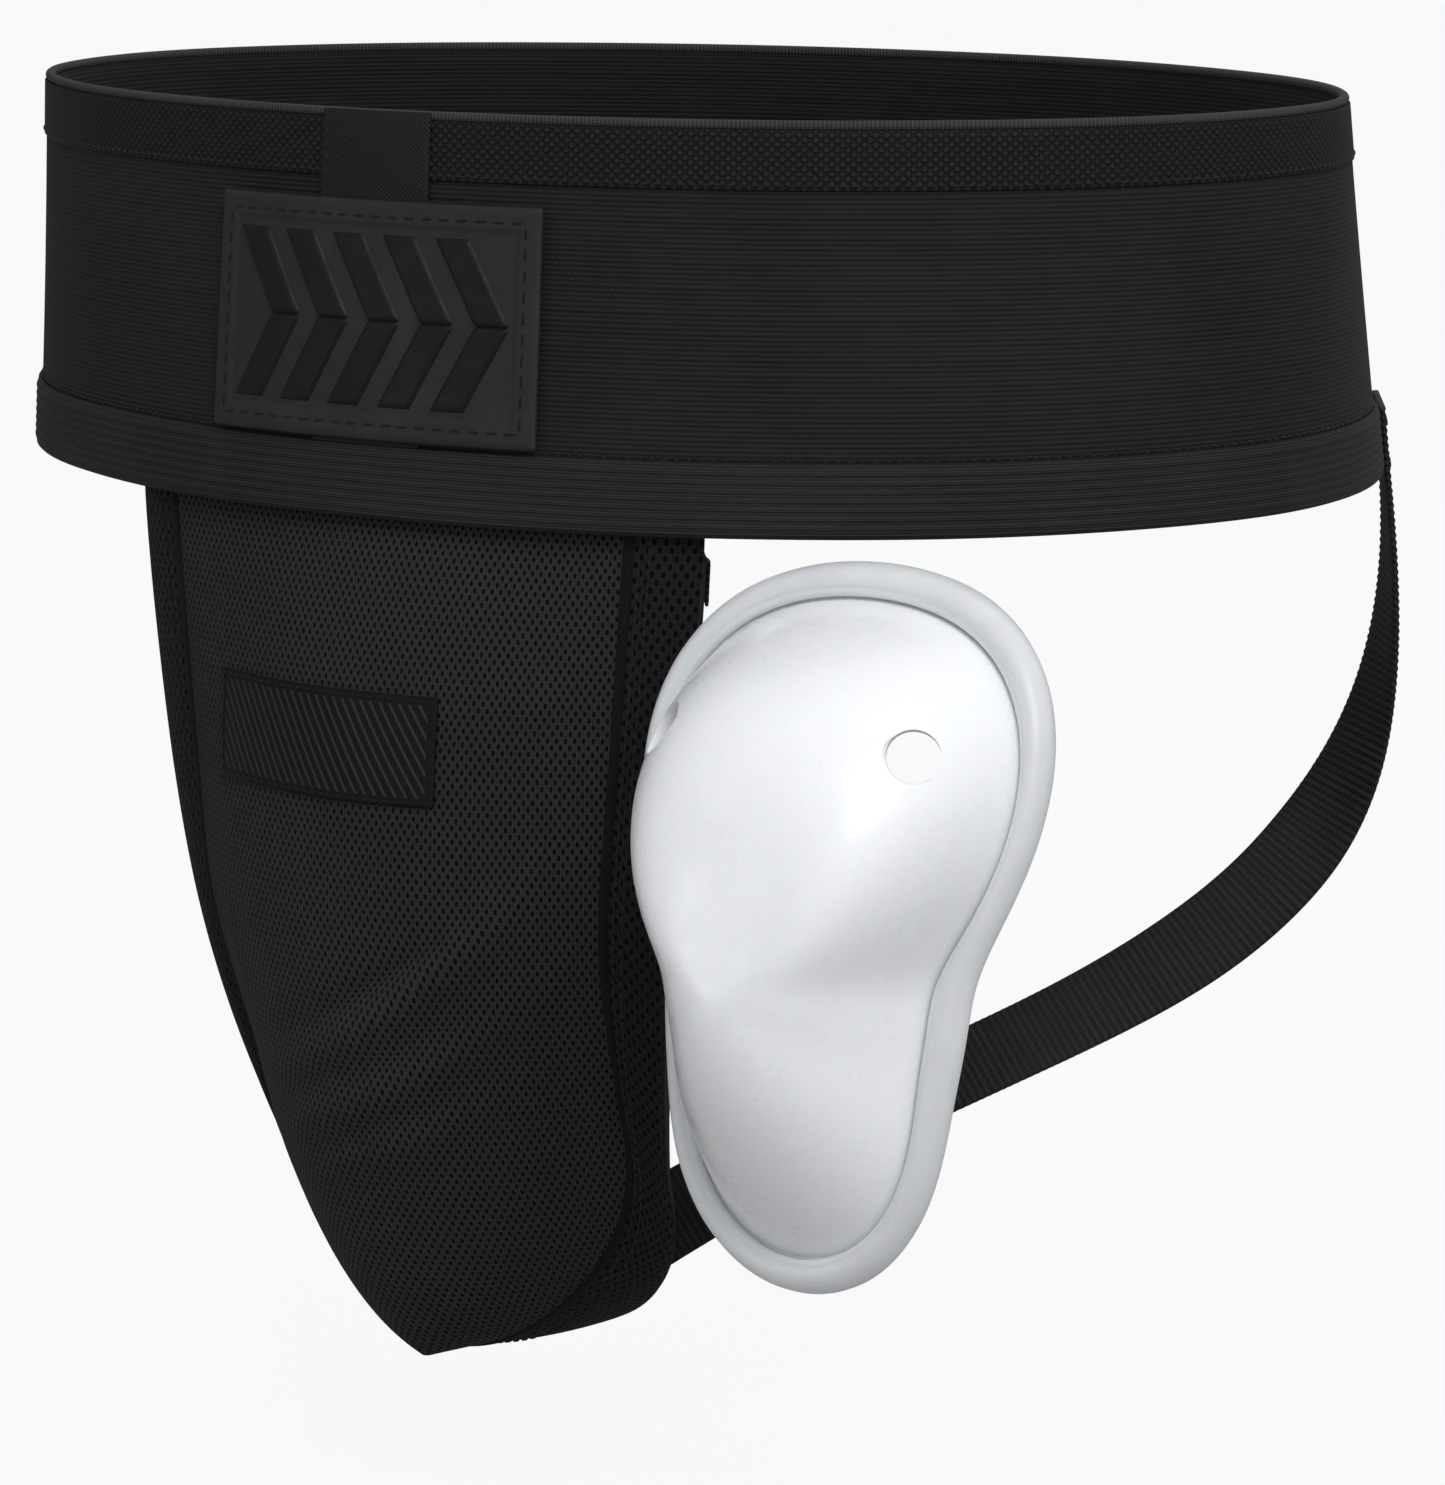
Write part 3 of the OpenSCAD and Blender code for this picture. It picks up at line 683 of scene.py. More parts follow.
def build_waistband():
    web = ring_piece("waistband_webbing_cloth", weave_look(), -BINDING_H - 0.15, -BAND_H, 24,
                     -BAND_T, 0.0)
    settle(web, "garment", "band_elastic", "waistband_webbing")
    turn = np.linspace(0, 360, 480, endpoint=False)
    p, n = band_line(turn, -1.0, -BAND_T / 2)
    binding = tube("waist_edge_piping", rib_look("edge_binding", 0.9, 0.018, 0.05), p, n,
                   1.05, 1.15, 14, closed=True)
    settle(binding, "garment", "edge_binding", "waist_edge_binding")
    grip = ring_piece("upper_grip_tape", grip_look(), -BINDING_H - GAP,
                      -BINDING_H - GAP - GRIP_H, 14, 0.02, GRIP_T)
    settle(grip, "garment", "grip_weave", "upper_grip_band")
    ribs = 8

    def ribbed(share):
        edge = np.minimum(1, np.minimum(share, 1 - share) * 14)
        return HEM_T * (0.55 + 0.45 * np.sqrt(edge)) - 0.32 * (0.5 - 0.5 * np.cos(TAU * ribs * share))

    hem = ring_piece("ribbed_hem_elastic", rib_look("ribbed_elastic", 0.62, 0.0075, 0.024, 1.3, 0.05),
                     -BAND_H + HEM_H, -BAND_H, 8 * ribs + 1, 0.02, ribbed)
    settle(hem, "garment", "ribbed_elastic", "ribbed_hem_band")
    tape = front_sheet("front_joining_tape", plain_look("seam_tape", 0.0105, 0.7),
                       (-TAPE_W / 2, TAPE_W / 2), (-BAND_H + HEM_H + GAP, -0.4), 20, 40,
                       GRIP_T + LIFT, TAPE_OUT)
    settle(tape, "garment", "seam_tape", "front_seam_tape")
    # Thread that holds the grip tape, the hem and the joining tape
    runs = []
    all_round = np.linspace(0, 360, 721)
    for z, lift in ((-BINDING_H - GAP - GRIP_H + 0.9, GRIP_T), (-BAND_H + HEM_H + 1.0, 0.02)):
        runs.append(band_line(all_round, z, lift + 0.05))
    for x in (-TAPE_W / 2 + 1.4, TAPE_W / 2 - 1.4):
        runs.append(front_line(np.full(60, x), np.linspace(-BAND_H + HEM_H + 1, -1.5, 60), TAPE_OUT))
    sewn = stitches("band_topstitching", thread_look(0.012), runs, 2.6, 1.9, 0.5, 0.28)
    settle(sewn, "garment", "thread")


def thread_look(value):
    name = f"thread_{int(value * 10000)}"
    return bpy.data.materials.get(name) or plain_look(name, value, 0.6, 0.5, 0.05, 0.05)


def patch_height(x, z):
    """Height of the moulded patch above its back: raised frame, sunk field, soft corners."""
    inside = np.minimum(PATCH_W / 2 - np.abs(x), PATCH_H / 2 - np.abs(z))
    frame_ridge = 0.28 * ease((inside - 0.2) / 0.7) - 0.34 * ease((inside - 4.4) / 0.6)
    return PATCH_T - 0.2 + frame_ridge


def build_patch():
    xs = np.linspace(-PATCH_W / 2, PATCH_W / 2, 165)
    zs = np.linspace(PATCH_TOP - PATCH_H, PATCH_TOP, 101)
    mid = PATCH_TOP - PATCH_H / 2
    gx, gz = np.meshgrid(xs, zs - mid, indexing="ij")
    patch = shell("waistband_patch_moulded", rubber_look("patch_rubber", 0.0165, 0.55, 0.04),
                  front_grid(xs, zs), PATCH_IN, PATCH_IN + patch_height(gx, gz),
                  front_uv(xs, zs, 0, mid))
    settle(patch, "garment", "patch_rubber", "waistband_patch")
    # Raised chevrons: each arm is a slanted bar
    count, pitch, bar, reach = 5, 13.0, 8.0, 10.0
    half = PATCH_H / 2 - 6.8
    arms = []
    look = rubber_look("patch_relief_rubber", 0.0032, 0.5, 0.03)
    for c in range(count):
        x0 = (c - (count - 1) / 2) * pitch - bar / 2 + reach / 2
        for side in (-1, 1):
            s = np.linspace(0, bar, 13)
            k = np.linspace(0.012, 1, 25)
            gs, gk = np.meshgrid(s, k, indexing="ij")
            x, z = x0 + gs - reach * gk, mid + side * half * gk
            points = band_face(front_angle(x), z)
            if side < 0:
                points = points[:, ::-1]
            edge = np.minimum(np.minimum(gs, bar - gs), np.minimum(gk, 1 - gk) * half)
            top = PATCH_OUT - 0.28 + 0.62 * ease(0.15 + edge / 0.7)
            top = top if side > 0 else top[:, ::-1]
            uv = np.stack([gs, gk * half], -1)
            arms.append(shell(f"arm_{c}_{side + 1}", look, points, PATCH_OUT - 0.5, top, uv))
    relief = join(arms, "waistband_patch_chevrons")
    settle(relief, "garment", "patch_relief_rubber", "patch_relief")
    inset, lift = 3.0, PATCH_IN + PATCH_T + 0.04
    left, right = -PATCH_W / 2 + inset, PATCH_W / 2 - inset
    top, low = PATCH_TOP - inset, PATCH_TOP - PATCH_H + inset
    n = 60
    runs = [front_line(np.linspace(left, right, n), np.full(n, z), lift) for z in (top, low)]
    runs += [front_line(np.full(n, x), np.linspace(top, low, n), lift) for x in (left, right)]
    sewn = stitches("waistband_patch_stitches", thread_look(0.006), runs, 4.2, 2.9, 0.62, 0.32)
    settle(sewn, "garment", "thread", "patch_stitching")


def join(parts, name):
    """One object from several made by this script."""
    verts, faces, uvs, count = [], [], [], 0
    for o in parts:
        m = o.data
        co = np.zeros(len(m.vertices) * 3)
        m.vertices.foreach_get("co", co)
        verts.append(co.reshape(-1, 3))
        faces += [[v + count for v in p.vertices] for p in m.polygons]
        uv = np.zeros(len(m.loops) * 2)
        m.uv_layers["Cloth"].data.foreach_get("uv", uv)
        uvs.append(uv)
        count += len(m.vertices)
    mesh = bpy.data.meshes.new(name)
    mesh.from_pydata(np.concatenate(verts).tolist(), [], faces)
    mesh.uv_layers.new(name="Cloth").data.foreach_set("uv", np.concatenate(uvs).astype(np.float32))
    mesh.shade_smooth()
    mesh.materials.append(parts[0].data.materials[0])
    for o in parts:
        bpy.data.objects.remove(o)
    return add_object(name, mesh)


# ---------------------------------------------------------------- pouch
def bezier(p, t):
    t = np.asarray(t, float)[..., None]
    p = np.asarray(p, float)
    u = 1 - t
    return p[0] * u**3 + p[1] * 3 * u * u * t + p[2] * 3 * u * t * t + p[3] * t**3


PANEL_LINE = bezier([[FRONT_Y, POUCH_TOP], [FRONT_Y - PANEL_BULGE, POUCH_TOP - 60],
                     [FRONT_Y - PANEL_BULGE * 0.8, POUCH_TIP + 27], [TIP_Y, POUCH_TIP]],
                    np.linspace(0, 1, 400))


def panel_mid(z):
    return np.interp(-z, -PANEL_LINE[:, 1], PANEL_LINE[:, 0])


def panel_half(z):
    start = POUCH_TIP + ROUND_END
    straight = PANEL_HALF + (PANEL_END_HALF - PANEL_HALF) * (POUCH_TOP - z) / (POUCH_TOP - start)
    curve = PANEL_END_HALF * np.maximum(0, 1 - np.clip((start - z) / ROUND_END, 0, 1) ** 2) ** 0.58
    return np.where(z > start, straight, curve)


def seam_y(z):
    return -110 + 22 * ease((-165 - z) / 88) - 3 * ease((-250 - z) / 29)


def edge_half(z):
    start = EDGE_TIP + EDGE_ROUND
    share = np.clip((POUCH_TOP - z) / (POUCH_TOP - start), 0, 1)
    straight = EDGE_HALF_TOP + (EDGE_HALF_LOW - EDGE_HALF_TOP) * share ** 1.4
    curve = EDGE_HALF_LOW * np.sqrt(np.maximum(0, 1 - np.clip((start - z) / EDGE_ROUND, 0, 1) ** 2))
    return np.where(z > start, straight, curve)


def edge_y(z):
    return -103.5 + 44 * np.clip((-140 - z) / 140, 0, 1) ** 2.4


# Soft folds that rise from the lower middle of the panel to the wearer's left seam:
# start x, start z, slope in degrees, width, length, depth
FOLDS = [
    (6, -196, 33, 4.2, 34, 1.5), (14, -208, 31, 4.4, 30, 1.3), (20, -184, 36, 3.6, 26, 1.0),
    (12, -222, 27, 4.0, 26, 1.0), (-6, -214, 40, 5.0, 24, 0.7), (26, -172, 38, 3.4, 20, 0.6),
    (-34, -226, 118, 4.5, 26, 0.7), (-40, -186, 108, 4.5, 26, 0.5),
]


def fold_depth(x, z):
    """How far the soft folds and the slack of the mesh move the panel outward."""
    out = 0.28 * np.sin(0.11 * x + 0.06 * z) * np.sin(0.05 * z - 0.4 + 0.03 * x)
    for x0, z0, slope, width, length, depth in FOLDS:
        a = math.radians(slope)
        along = (x - x0) * math.cos(a) + (z - z0) * math.sin(a)
        across = -(x - x0) * math.sin(a) + (z - z0) * math.cos(a) - 0.004 * along**2
        fade = np.exp(-((along / length) ** 2))
        out = out + depth * fade * (np.exp(-((across / width) ** 2))
                                    - 0.75 * np.exp(-(((across - 1.5 * width) / width) ** 2)))
    return out


def panel_point(x, z):
    """The panel's inner face, folds included."""
    half = np.maximum(panel_half(z), 1e-6)
    s = np.clip(x / half, -1, 1)
    y = seam_y(z) + (panel_mid(z) - seam_y(z)) * (1 - s * s)
    rim = ease((1 - np.abs(s)) * 4) * ease((POUCH_TOP - z) / 14) * ease((z - POUCH_TIP) / 16)
    return np.stack([x, y - fold_depth(x, z) * rim, z], -1)


def half_curve(start, radius, half_of, y_of, top, n=260):
    """Points from the band to the middle of the bottom, evenly spaced round the turn."""
    upper = np.linspace(top, start, 120, endpoint=False)
    lower = start - radius * np.sin(np.linspace(0, math.pi / 2, 160))
    z = np.concatenate([upper, lower])
    half = half_of(z)
    half[-1] = 0
    return resample(np.stack([half, y_of(z), z], -1), n)


def both_sides(points):
    other = points[::-1][1:] * [-1, 1, 1]
    return np.concatenate([points, other])


def build_pouch():
    seam = both_sides(half_curve(POUCH_TIP + ROUND_END, ROUND_END, panel_half, seam_y, POUCH_TOP))
    edge = both_sides(half_curve(EDGE_TIP + EDGE_ROUND, EDGE_ROUND, edge_half, edge_y, POUCH_TOP))
    # Front panel: a fine grid over its own outline, from the band down to the tip
    rows = 220
    k = np.linspace(0, 1, rows)
    start = POUCH_TIP + ROUND_END
    zs = np.interp(k, [0, 0.7], [POUCH_TOP, start])
    low = k > 0.7
    zs[low] = start - ROUND_END * np.sin((k[low] - 0.7) / 0.3 * math.pi / 2 * 0.985)
    s = np.linspace(1, -1, 150)
    gs, gz = np.meshgrid(s, zs, indexing="ij")
    gx = gs * panel_half(gz)
    points = panel_point(gx, gz)
    centre = panel_point(0 * zs, zs)
    drop = arc(centre)
    widths = np.concatenate([[np.zeros(rows)], np.cumsum(np.linalg.norm(
        np.diff(points, axis=0), axis=2), axis=0)])
    widths -= widths[-1] / 2
    uv = np.stack([-widths, np.broadcast_to(-drop, gs.shape)], -1)
    panel = shell("pouch_front_mesh", knit_look("pouch_mesh", 1.9, 3.0, 0.021, 0.0016),
                  points, 0.0, MESH_T, uv)
    settle(panel, "garment", "pouch_mesh", "pouch_front_panel")
    # One gusset strip down one side, under the bottom and up the other
    across = np.linspace(0, 1, 15)
    strip = seam[:, None] * (1 - across[None, :, None]) + edge[:, None] * across[None, :, None]
    ds, dk = slopes(strip, False)
    puff = 1.3 * np.sin(math.pi * across) ** 0.8
    run = arc(seam)
    ripple = 0.18 * np.sin(run[:, None] / 3.1) * np.exp(-across[None] * 5)
    strip = strip + unit(np.cross(ds, dk)) * (puff[None] + ripple)[..., None]
    wide = np.linalg.norm(edge - seam, axis=1)
    uv = np.stack([np.broadcast_to(across, strip.shape[:2]) * wide[:, None],
                   np.broadcast_to(run[:, None], strip.shape[:2])], -1)
    gusset = shell("pouch_side_gusset", knit_look("gusset_mesh", 2.3, 3.4, 0.0105, 0.001),
                   strip, 0.0, MESH_T, uv)
    settle(gusset, "garment", "gusset_mesh", "pouch_gusset_left", "pouch_gusset_right",
           "pouch_bottom_gusset")
    out = unit(np.cross(ds, dk))[:, 0]
    forward = unit(out + np.array([0, -1.2, 0]))
    welt = tube("pouch_seam_welt", plain_look("seam_cord", 0.004, 0.8), seam + forward * 1.2,
                forward, 1.5, 0.85, 12)
    settle(welt, "garment", "gusset_mesh")
    normal = unit(np.cross(ds, dk))
    runs = []
    for col, lift in ((2, 1.5), (4, 1.5)):
        runs.append((strip[:, col] + normal[:, col] * (lift), normal[:, col]))
    needle = stitches("pouch_twin_needle_rows", thread_look(0.014), runs, 2.5, 1.9, 0.5, 0.28)
    settle(needle, "garment", "thread")
    build_lining()
    build_label()


def lining_point(s, z):
    k = (LINING_TOP - z) / (LINING_TOP - LINING_LOW)
    roundness = 2.2 + 1.0 * ease(k * 4)
    y = edge_y(z) + GAP
    y = y + (LINING_BACK - y) * (1 - np.abs(s) ** roundness)
    slack = 0.5 * np.sin(0.16 * z + 2.5 * s) * (1 - s * s) * ease(k * 5)
    return np.stack([(edge_half(z) - GAP) * s, y + slack, z], -1)


def build_lining():
    s = np.linspace(-1, 1, 90)
    depth = np.linspace(0, 1, 110)
    z = LINING_TOP + (LINING_LOW - LINING_TOP) * depth
    gs, gz = np.meshgrid(s, z, indexing="ij")
    points = lining_point(gs, gz)
    row = np.concatenate([[np.zeros(len(z))], np.cumsum(np.linalg.norm(
        np.diff(points, axis=0), axis=2), axis=0)])
    uv = np.stack([row - row[-1] / 2, np.broadcast_to(gz, gs.shape)], -1)
    lining = shell("pouch_pocket_lining", knit_look("lining_knit", 1.5, 1.7, 0.014, 0.003, 0.85, 0.2),
                   points, 0.0, MESH_T, uv)
    settle(lining, "garment", "lining_knit", "pouch_lining")
    z = np.linspace(LINING_TOP - 0.3, LINING_TOP - MOUTH_H, 40)
    s = np.linspace(-0.98, 0.98, 120)
    gs, gz = np.meshgrid(s, z, indexing="ij")
    points = lining_point(gs, gz)
    row = arc(points[:, 0])
    uv = np.stack(np.meshgrid(row, z, indexing="ij"), -1)
    gather = 0.16 * np.sin(row[:, None] / 1.9)
    mouth = shell("pocket_mouth_band", rib_look("mouth_elastic", 1.5, 0.006, 0.02, 1.9, 0.1),
                  points, MESH_T + 0.25, MESH_T + 1.15 + gather, uv)
    settle(mouth, "garment", "strap_elastic", "pocket_mouth_elastic")


def build_label():
    xs = -LABEL_SHIFT + np.linspace(-LABEL_W / 2, LABEL_W / 2, 80)
    zs = np.linspace(LABEL_TOP - LABEL_H, LABEL_TOP, 32)
    gx, gz = np.meshgrid(xs, zs, indexing="ij")
    points = panel_point(gx, gz)
    mid_z = LABEL_TOP - LABEL_H / 2
    uv = front_uv(xs, zs, -LABEL_SHIFT, mid_z)
    label = shell("pouch_woven_label", label_look(), points, MESH_T + 0.08, MESH_T + 0.72, uv)
    settle(label, "garment", "woven_label", "pouch_label")
    ds, dk = slopes(points, False)
    n = unit(np.cross(ds, dk))
    lift = MESH_T + 0.74
    runs = [(points[:, j] + n[:, j] * lift, n[:, j]) for j in (1, -2)]
    runs += [(points[i] + n[i] * lift, n[i]) for i in (1, -2)]
    sewn = stitches("pouch_label_stitches", thread_look(0.006), runs, 2.4, 1.8, 0.42, 0.2)
    settle(sewn, "garment", "thread")


# ---------------------------------------------------------------- leg straps
HIP_ANGLE = 27
HIP_OUT = np.array([0.84, 0.543, 0.0])
STRAP_MID = HEM_T + 0.1 + STRAP_T / 2


def hip_point(z):
    k = -z / BAND_H
    a = math.radians(HIP_ANGLE)
    return np.array([(HALF_W + FLARE_W * k) * math.cos(a),
                     (HALF_D + FLARE_D * k) * math.sin(a) + HIP_SHIFT * k, z])


def strap_path(n):
    """Middle line of the left strap and the way its inner face looks."""
    start = hip_point(-BAND_H) + HIP_OUT * STRAP_MID
    tab_face = TAB_Y + 2.4 + STRAP_T / 2
    line = [start, start + [6, 22, -128], [90, 6, -203], [21, tab_face, TAB_Z + 1]]
    sewn = np.array([hip_point(z) + HIP_OUT * STRAP_MID
                     for z in np.linspace(-BAND_H + HEM_H, -BAND_H + 1, 6)])
    free = bezier(line, np.linspace(0, 1, 160))
    flat = np.array([[x, tab_face, TAB_Z] for x in np.linspace(18, 4, 8)])
    points = np.concatenate([sewn, free, flat])
    t = np.concatenate([np.zeros(6), np.linspace(0, 1, 160), np.ones(8)])
    length = arc(points)
    at = np.linspace(0, length[-1], n)
    even = np.stack([np.interp(at, length, points[:, c]) for c in range(3)], -1)
    turn = np.interp(at, length, t)
    a = np.radians(212 + 84 * ease(turn * 2) - 26 * ease((turn - 0.8) * 5))
    tilt = ease((turn - 0.3) * 2.5) * (1 - ease((turn - 0.86) * 9))
    facing = np.stack([np.cos(a), np.sin(a), tilt], -1)
    along = unit(np.gradient(even, axis=0))
    facing = unit(facing - along * (facing * along).sum(1, keepdims=True))
    return even, along, facing, at


def build_straps():
    look = rib_look("strap_elastic", 1.75, 0.0045, 0.021, 0.95, 0.1, 0.7)
    n = 1100
    points, along, facing, at = strap_path(n)
    side = np.cross(along, facing)
    rib = 0.13 * np.cos(TAU * at / 1.75)
    half = np.array([-1, -0.985, -0.93, -0.6, -0.2, 0.2, 0.6, 0.93, 0.985, 1])
    thin = np.array([0.15, 0.6, 1, 1, 1, 1, 1, 1, 0.6, 0.15])
    top = [points + side * (h * STRAP_W / 2) + facing * ((STRAP_T / 2 + rib) * f)[:, None]
           for h, f in zip(half, thin)]
    low = [points + side * (h * STRAP_W / 2) - facing * ((STRAP_T / 2 + rib) * f)[:, None]
           for h, f in zip(half, thin)]
    sections = np.stack(top[::-1] + low, 1)
    around = np.concatenate([half[::-1], half, half[-1:]]) * STRAP_W / 2
    for name, sign in (("left", 1), ("right", -1)):
        made_sections = sections * [sign, 1, 1]
        if sign < 0:
            made_sections = made_sections[:, ::-1]
        strap = swept(f"leg_strap_{name}_webbing", look, made_sections, at, around)
        settle(strap, "garment", "strap_elastic", f"leg_strap_{name}")
    # Crotch tab: a folded, box-stitched piece behind the pouch's bottom
    s, k = np.linspace(-24, 24, 60), np.linspace(-11, 11, 30)
    gs, gk = np.meshgrid(s, k, indexing="ij")
    squeeze = np.sqrt(np.clip(1 - ((np.abs(gk) - 7).clip(0) / 4.4) ** 2, 0, 1))
    gx = gs * (17 + 4 * squeeze) / 24
    y = TAB_Y + 0.6 + 0.15 * np.sin(gx / 4.0)
    tab = np.stack([gx, y, TAB_Z + gk], -1)[:, ::-1]
    folded = shell("crotch_tab_folded", plain_look("tab_tape", 0.009, 0.8), tab, -0.2, 1.4,
                   np.stack([gs, gk], -1)[:, ::-1])
    settle(folded, "garment", "seam_tape", "crotch_tab")
    build_tacks(points, facing, side)


def build_tacks(points, facing, side):
    """Bar tacks: tight zigzags across each strap, on the hem and on the crotch tab."""
    runs = []
    lift = STRAP_T / 2 + 0.18

    def zigzag(i0, i1, sign, teeth=13):
        rows = []
        for c in range(teeth * 2 + 1):
            h = -0.82 + 1.64 * c / (teeth * 2)
            i = i0 if c % 2 else i1
            p = points[i] + side[i] * h * STRAP_W / 2 - facing[i] * lift
            rows.append(p * [sign, 1, 1])
        rows = np.array(rows)
        up = np.tile(-facing[i0] * [sign, 1, 1], (len(rows), 1))
        fine = resample(rows, 8 * len(rows))
        return fine, up[:1].repeat(len(fine), 0)

    def row_at(distance):
        length = arc(points)
        return int(np.searchsorted(length, distance))

    total = arc(points)[-1]
    for sign in (1, -1):
        for d in (2.6, 12.2):
            runs.append(zigzag(row_at(d), row_at(d + 1.5), sign))
        for d in (4.5, 11.0):
            runs.append(zigzag(row_at(total - d), row_at(total - d + 1.5), sign))
    sewn = stitches("strap_bar_tack_thread", thread_look(0.02), runs, 1.25, 1.5, 0.45, 0.22)
    settle(sewn, "garment", "thread", "strap_bar_tacks")


# ---------------------------------------------------------------- cup
def cup_radius(a):
    return (55.8 + 14 * np.cos(a) + 20.6 * np.cos(2 * a) + 0.25 * np.cos(3 * a)
            - 0.2 * np.cos(4 * a) - 2 * np.cos(5 * a) - 0.9 * np.cos(6 * a))


def cup_place(v, u, w):
    lean = math.radians(CUP_LEAN)
    out = w - RIM_BOW * (u / 80) ** 2
    return CUP_HUB + np.stack([v + 0 * out, -out * math.cos(lean) + u * math.sin(lean),
                               u * math.cos(lean) + out * math.sin(lean)], -1)


def dome_point(a, r, wall):
    base = cup_radius(a) - CUSHION_W - FLANGE_W - wall
    power = 3.2 + 1.4 * np.cos(a)
    w = CUP_DEPTH * (1 - np.clip(r, 0, 1) ** power) - wall * (1 + 0.35 * r)
    return cup_place(base * r * np.sin(a), base * r * np.cos(a), w)


def flange_point(a, out, w):
    r = cup_radius(a) - CUSHION_W + out
    return cup_place(r * np.sin(a), r * np.cos(a), w)


def lathe_cutter(name, profile, n=64):
    """Solid of revolution about z from (radius, height) pairs, for cutting a vent."""
    verts = [(0, 0, profile[0][1])]
    for radius, z in profile:
        verts += [(radius * math.cos(TAU * i / n), radius * math.sin(TAU * i / n), z)
                  for i in range(n)]
    verts.append((0, 0, profile[-1][1]))
    faces = [(0, 1 + (i + 1) % n, 1 + i) for i in range(n)]
    for row in range(len(profile) - 1):
        o = 1 + row * n
        faces += [(o + i, o + (i + 1) % n, o + n + (i + 1) % n, o + n + i) for i in range(n)]
    o = 1 + (len(profile) - 1) * n
    faces += [(len(verts) - 1, o + i, o + (i + 1) % n) for i in range(n)]
    mesh = bpy.data.meshes.new(name)
    mesh.from_pydata((np.array(verts) * MM).tolist(), [], faces)
    return add_object(name, mesh)


def vent_line(side):
    """Where a vent's line meets the dome's outer face, and the way the line runs outward."""
    turn, rise = math.radians(side * VENT_TURN), math.radians(CUP_LEAN + VENT_RISE)
    way = np.array([math.sin(turn) * math.cos(rise), -math.cos(turn) * math.cos(rise),
                    math.sin(rise)])
    lean = math.radians(CUP_LEAN)
    start = cup_place(side * VENT_SPACING / 2, VENT_UP, VENT_OUT)
    for step in np.linspace(0, 20, 801):
        d = start + way * step - CUP_HUB
        u = d[1] * math.sin(lean) + d[2] * math.cos(lean)
        w = -d[1] * math.cos(lean) + d[2] * math.sin(lean) + RIM_BOW * (u / 80) ** 2
        a = math.atan2(d[0], u)
        r = math.hypot(d[0], u) / (cup_radius(a) - CUSHION_W - FLANGE_W)
        if w > CUP_DEPTH * (1 - min(r, 1) ** (3.2 + 1.4 * math.cos(a))):
            break
    return start + way * step, way


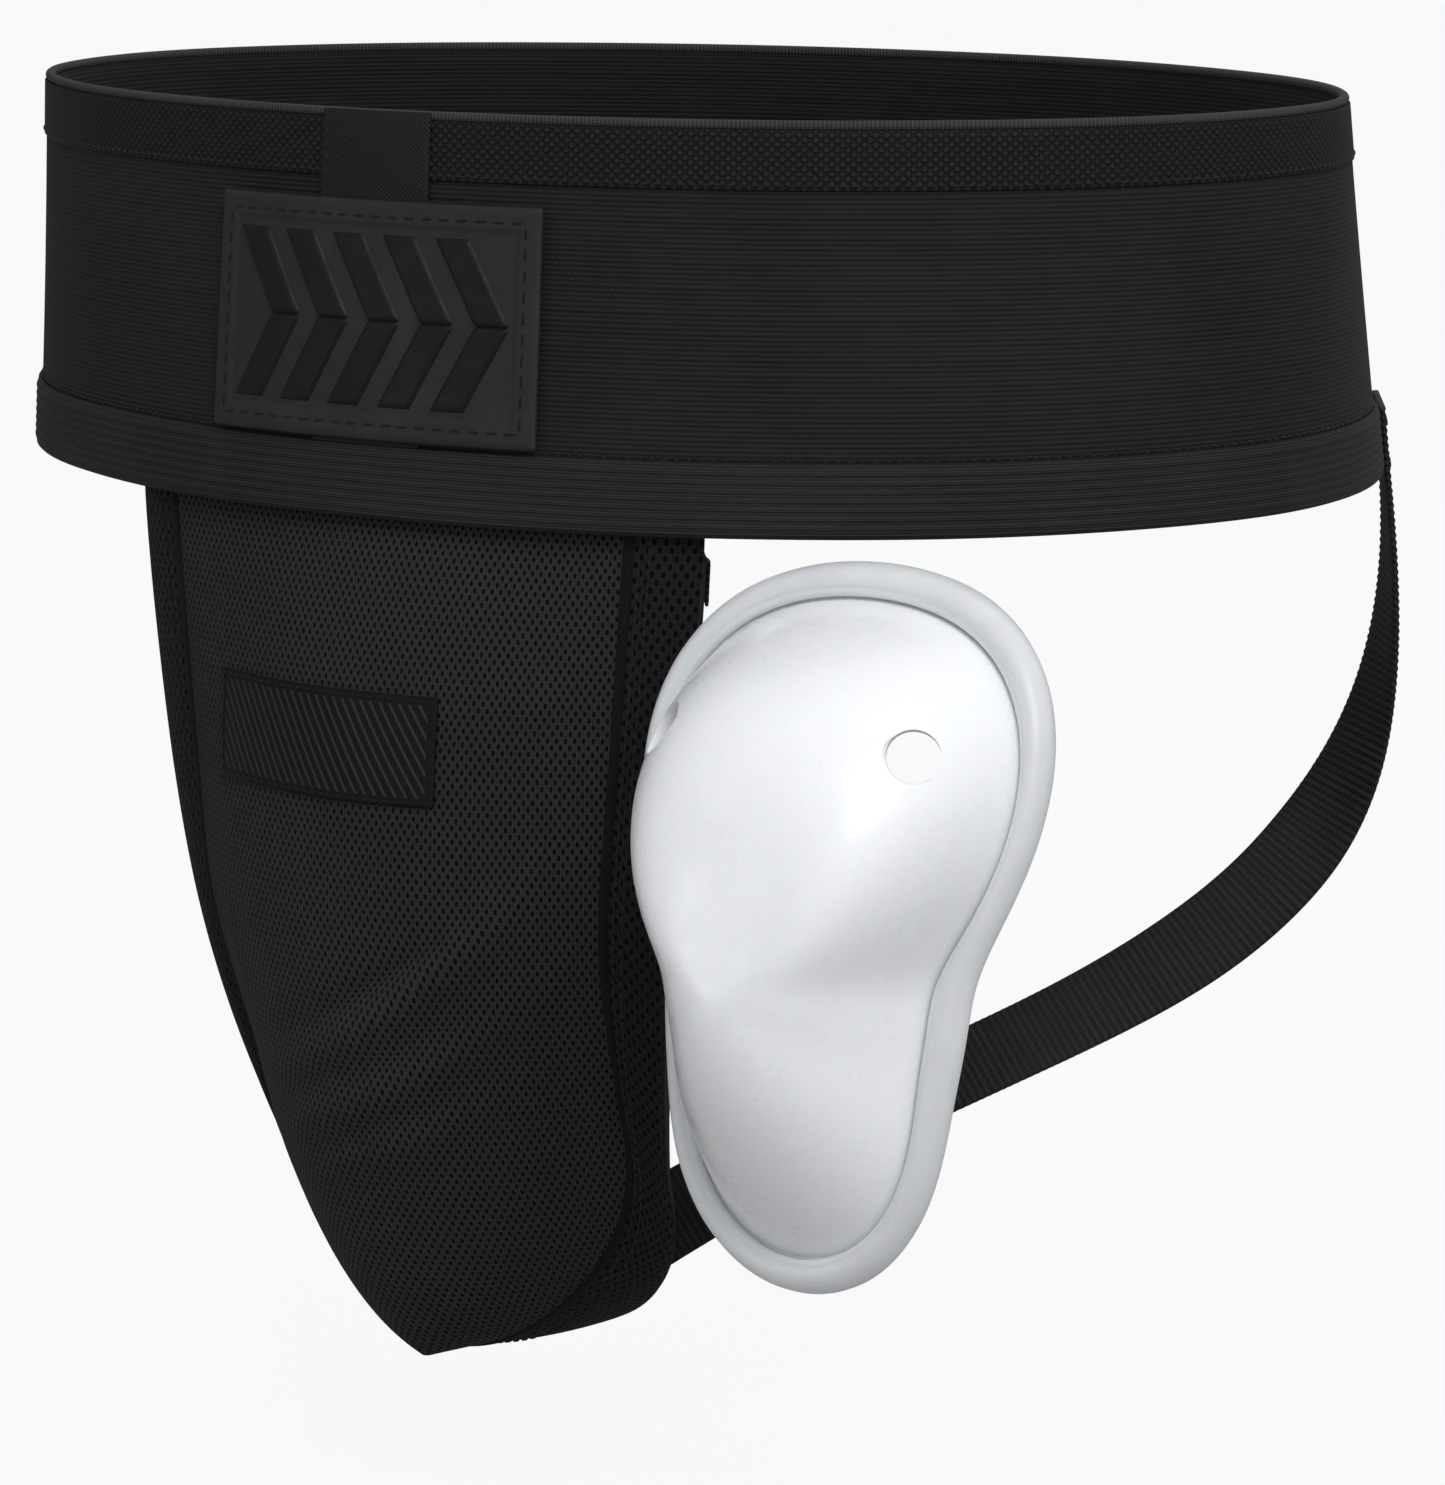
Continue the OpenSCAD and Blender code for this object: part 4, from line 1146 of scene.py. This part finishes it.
def build_cup():
    n, rings = 288, 72
    a = np.linspace(0, TAU, n, endpoint=False)
    r = np.linspace(0, 1, rings + 1)[1:] ** 0.8
    rows = [dome_point(a, q, 0) for q in r]
    rows += [flange_point(a, q, 0) for q in (-0.6, 1.2, 3.2)]
    rows += [flange_point(a, 3.6, -0.4), flange_point(a, 3.6, -CUP_WALL + 0.4)]
    rows += [flange_point(a, q, -CUP_WALL) for q in (3.2, 1.2)]
    rows += [dome_point(a, q, CUP_WALL) for q in r[::-1]]
    rows = np.array(rows)
    m = len(rows)
    i, j = np.meshgrid(np.arange(m - 1), np.arange(n), indexing="ij")
    quads = np.stack([i * n + j, (i + 1) * n + j, (i + 1) * n + (j + 1) % n,
                      i * n + (j + 1) % n], -1).reshape(-1, 4)
    verts = np.concatenate([rows.reshape(-1, 3), [dome_point(np.array(0.0), 0.0, 0.0)],
                            [dome_point(np.array(0.0), 0.0, CUP_WALL)]])
    caps = [[m * n, c, (c + 1) % n] for c in range(n)]
    caps += [[m * n + 1, (m - 1) * n + (c + 1) % n, (m - 1) * n + c] for c in range(n)]
    mesh = bpy.data.meshes.new("cup_shell_moulded")
    mesh.from_pydata((verts * MM).tolist(), [], quads.tolist() + caps)
    cup = add_object("cup_shell_moulded", mesh)
    mesh.shade_smooth()
    cutters = []
    rad = VENT_D / 2
    profile = [(rad, -30), (rad, -0.9)]
    profile += [(rad + 1.0 - 1.0 * math.cos(t), -0.9 + 1.0 * math.sin(t))
                for t in np.linspace(0.2, 1.2, 6)]
    profile += [(rad + 0.75, 20)]
    for side in (-1, 1):
        place, way = vent_line(side)
        cutter = lathe_cutter(f"cutter_{side + 1}", profile)
        cutter.location = Vector(place * MM)
        cutter.rotation_mode = "QUATERNION"
        cutter.rotation_quaternion = Vector(way).to_track_quat("Z", "Y")
        cutters.append(cutter)
    for cutter in cutters:
        cut = cup.modifiers.new("vent", "BOOLEAN")
        cut.operation, cut.solver, cut.object = "DIFFERENCE", "EXACT", cutter
    bpy.context.view_layer.update()
    dg = bpy.context.evaluated_depsgraph_get()
    final = bpy.data.meshes.new_from_object(cup.evaluated_get(dg))
    cup.modifiers.clear()
    cup.data = final
    for cutter in cutters:
        bpy.data.objects.remove(cutter)
    final.materials.clear()
    final.materials.append(cup_look())
    final.set_sharp_from_angle(angle=math.radians(38))
    settle(cup, "cup", "cup_plastic", "cup_shell")
    # Soft rim: a rounded bead with a fine groove, open behind for the shell's flange
    outline = [(-0.6, 0.3), (-0.75, 1.3), (-0.35, 2.3), (0.35, 2.75), (0.9, 2.62), (1.25, 2.85),
               (2.2, 3.25), (3.4, 3.2), (4.6, 2.75), (5.6, 1.9), (6.3, 0.7), (6.6, -0.8),
               (6.45, -2.3), (5.8, -3.7), (4.7, -4.8), (3.3, -5.4), (1.8, -5.55), (0.4, -5.3),
               (-0.4, -4.5), (-0.6, -3.4), (-0.6, -CUP_WALL - 0.3), (1.5, -CUP_WALL - 0.3),
               (3.9, -CUP_WALL - 0.3), (3.9, -1.2), (3.9, 0.3), (1.5, 0.3)]
    sections = np.stack([flange_point(a, q[0], q[1]) for q in outline], 1)
    rim = swept("cup_soft_rim", rim_look(), sections,
                np.linspace(0, 420, n + 1), np.linspace(0, 30, len(outline) + 1), closed=True)
    rim.data.set_sharp_from_angle(angle=math.radians(60))
    settle(rim, "cup", "soft_rim", "cup_edge_cushion")


# ---------------------------------------------------------------- build
add_camera()
add_studio()
add_floor()
build_waistband()
build_patch()
build_pouch()
build_straps()
build_cup()
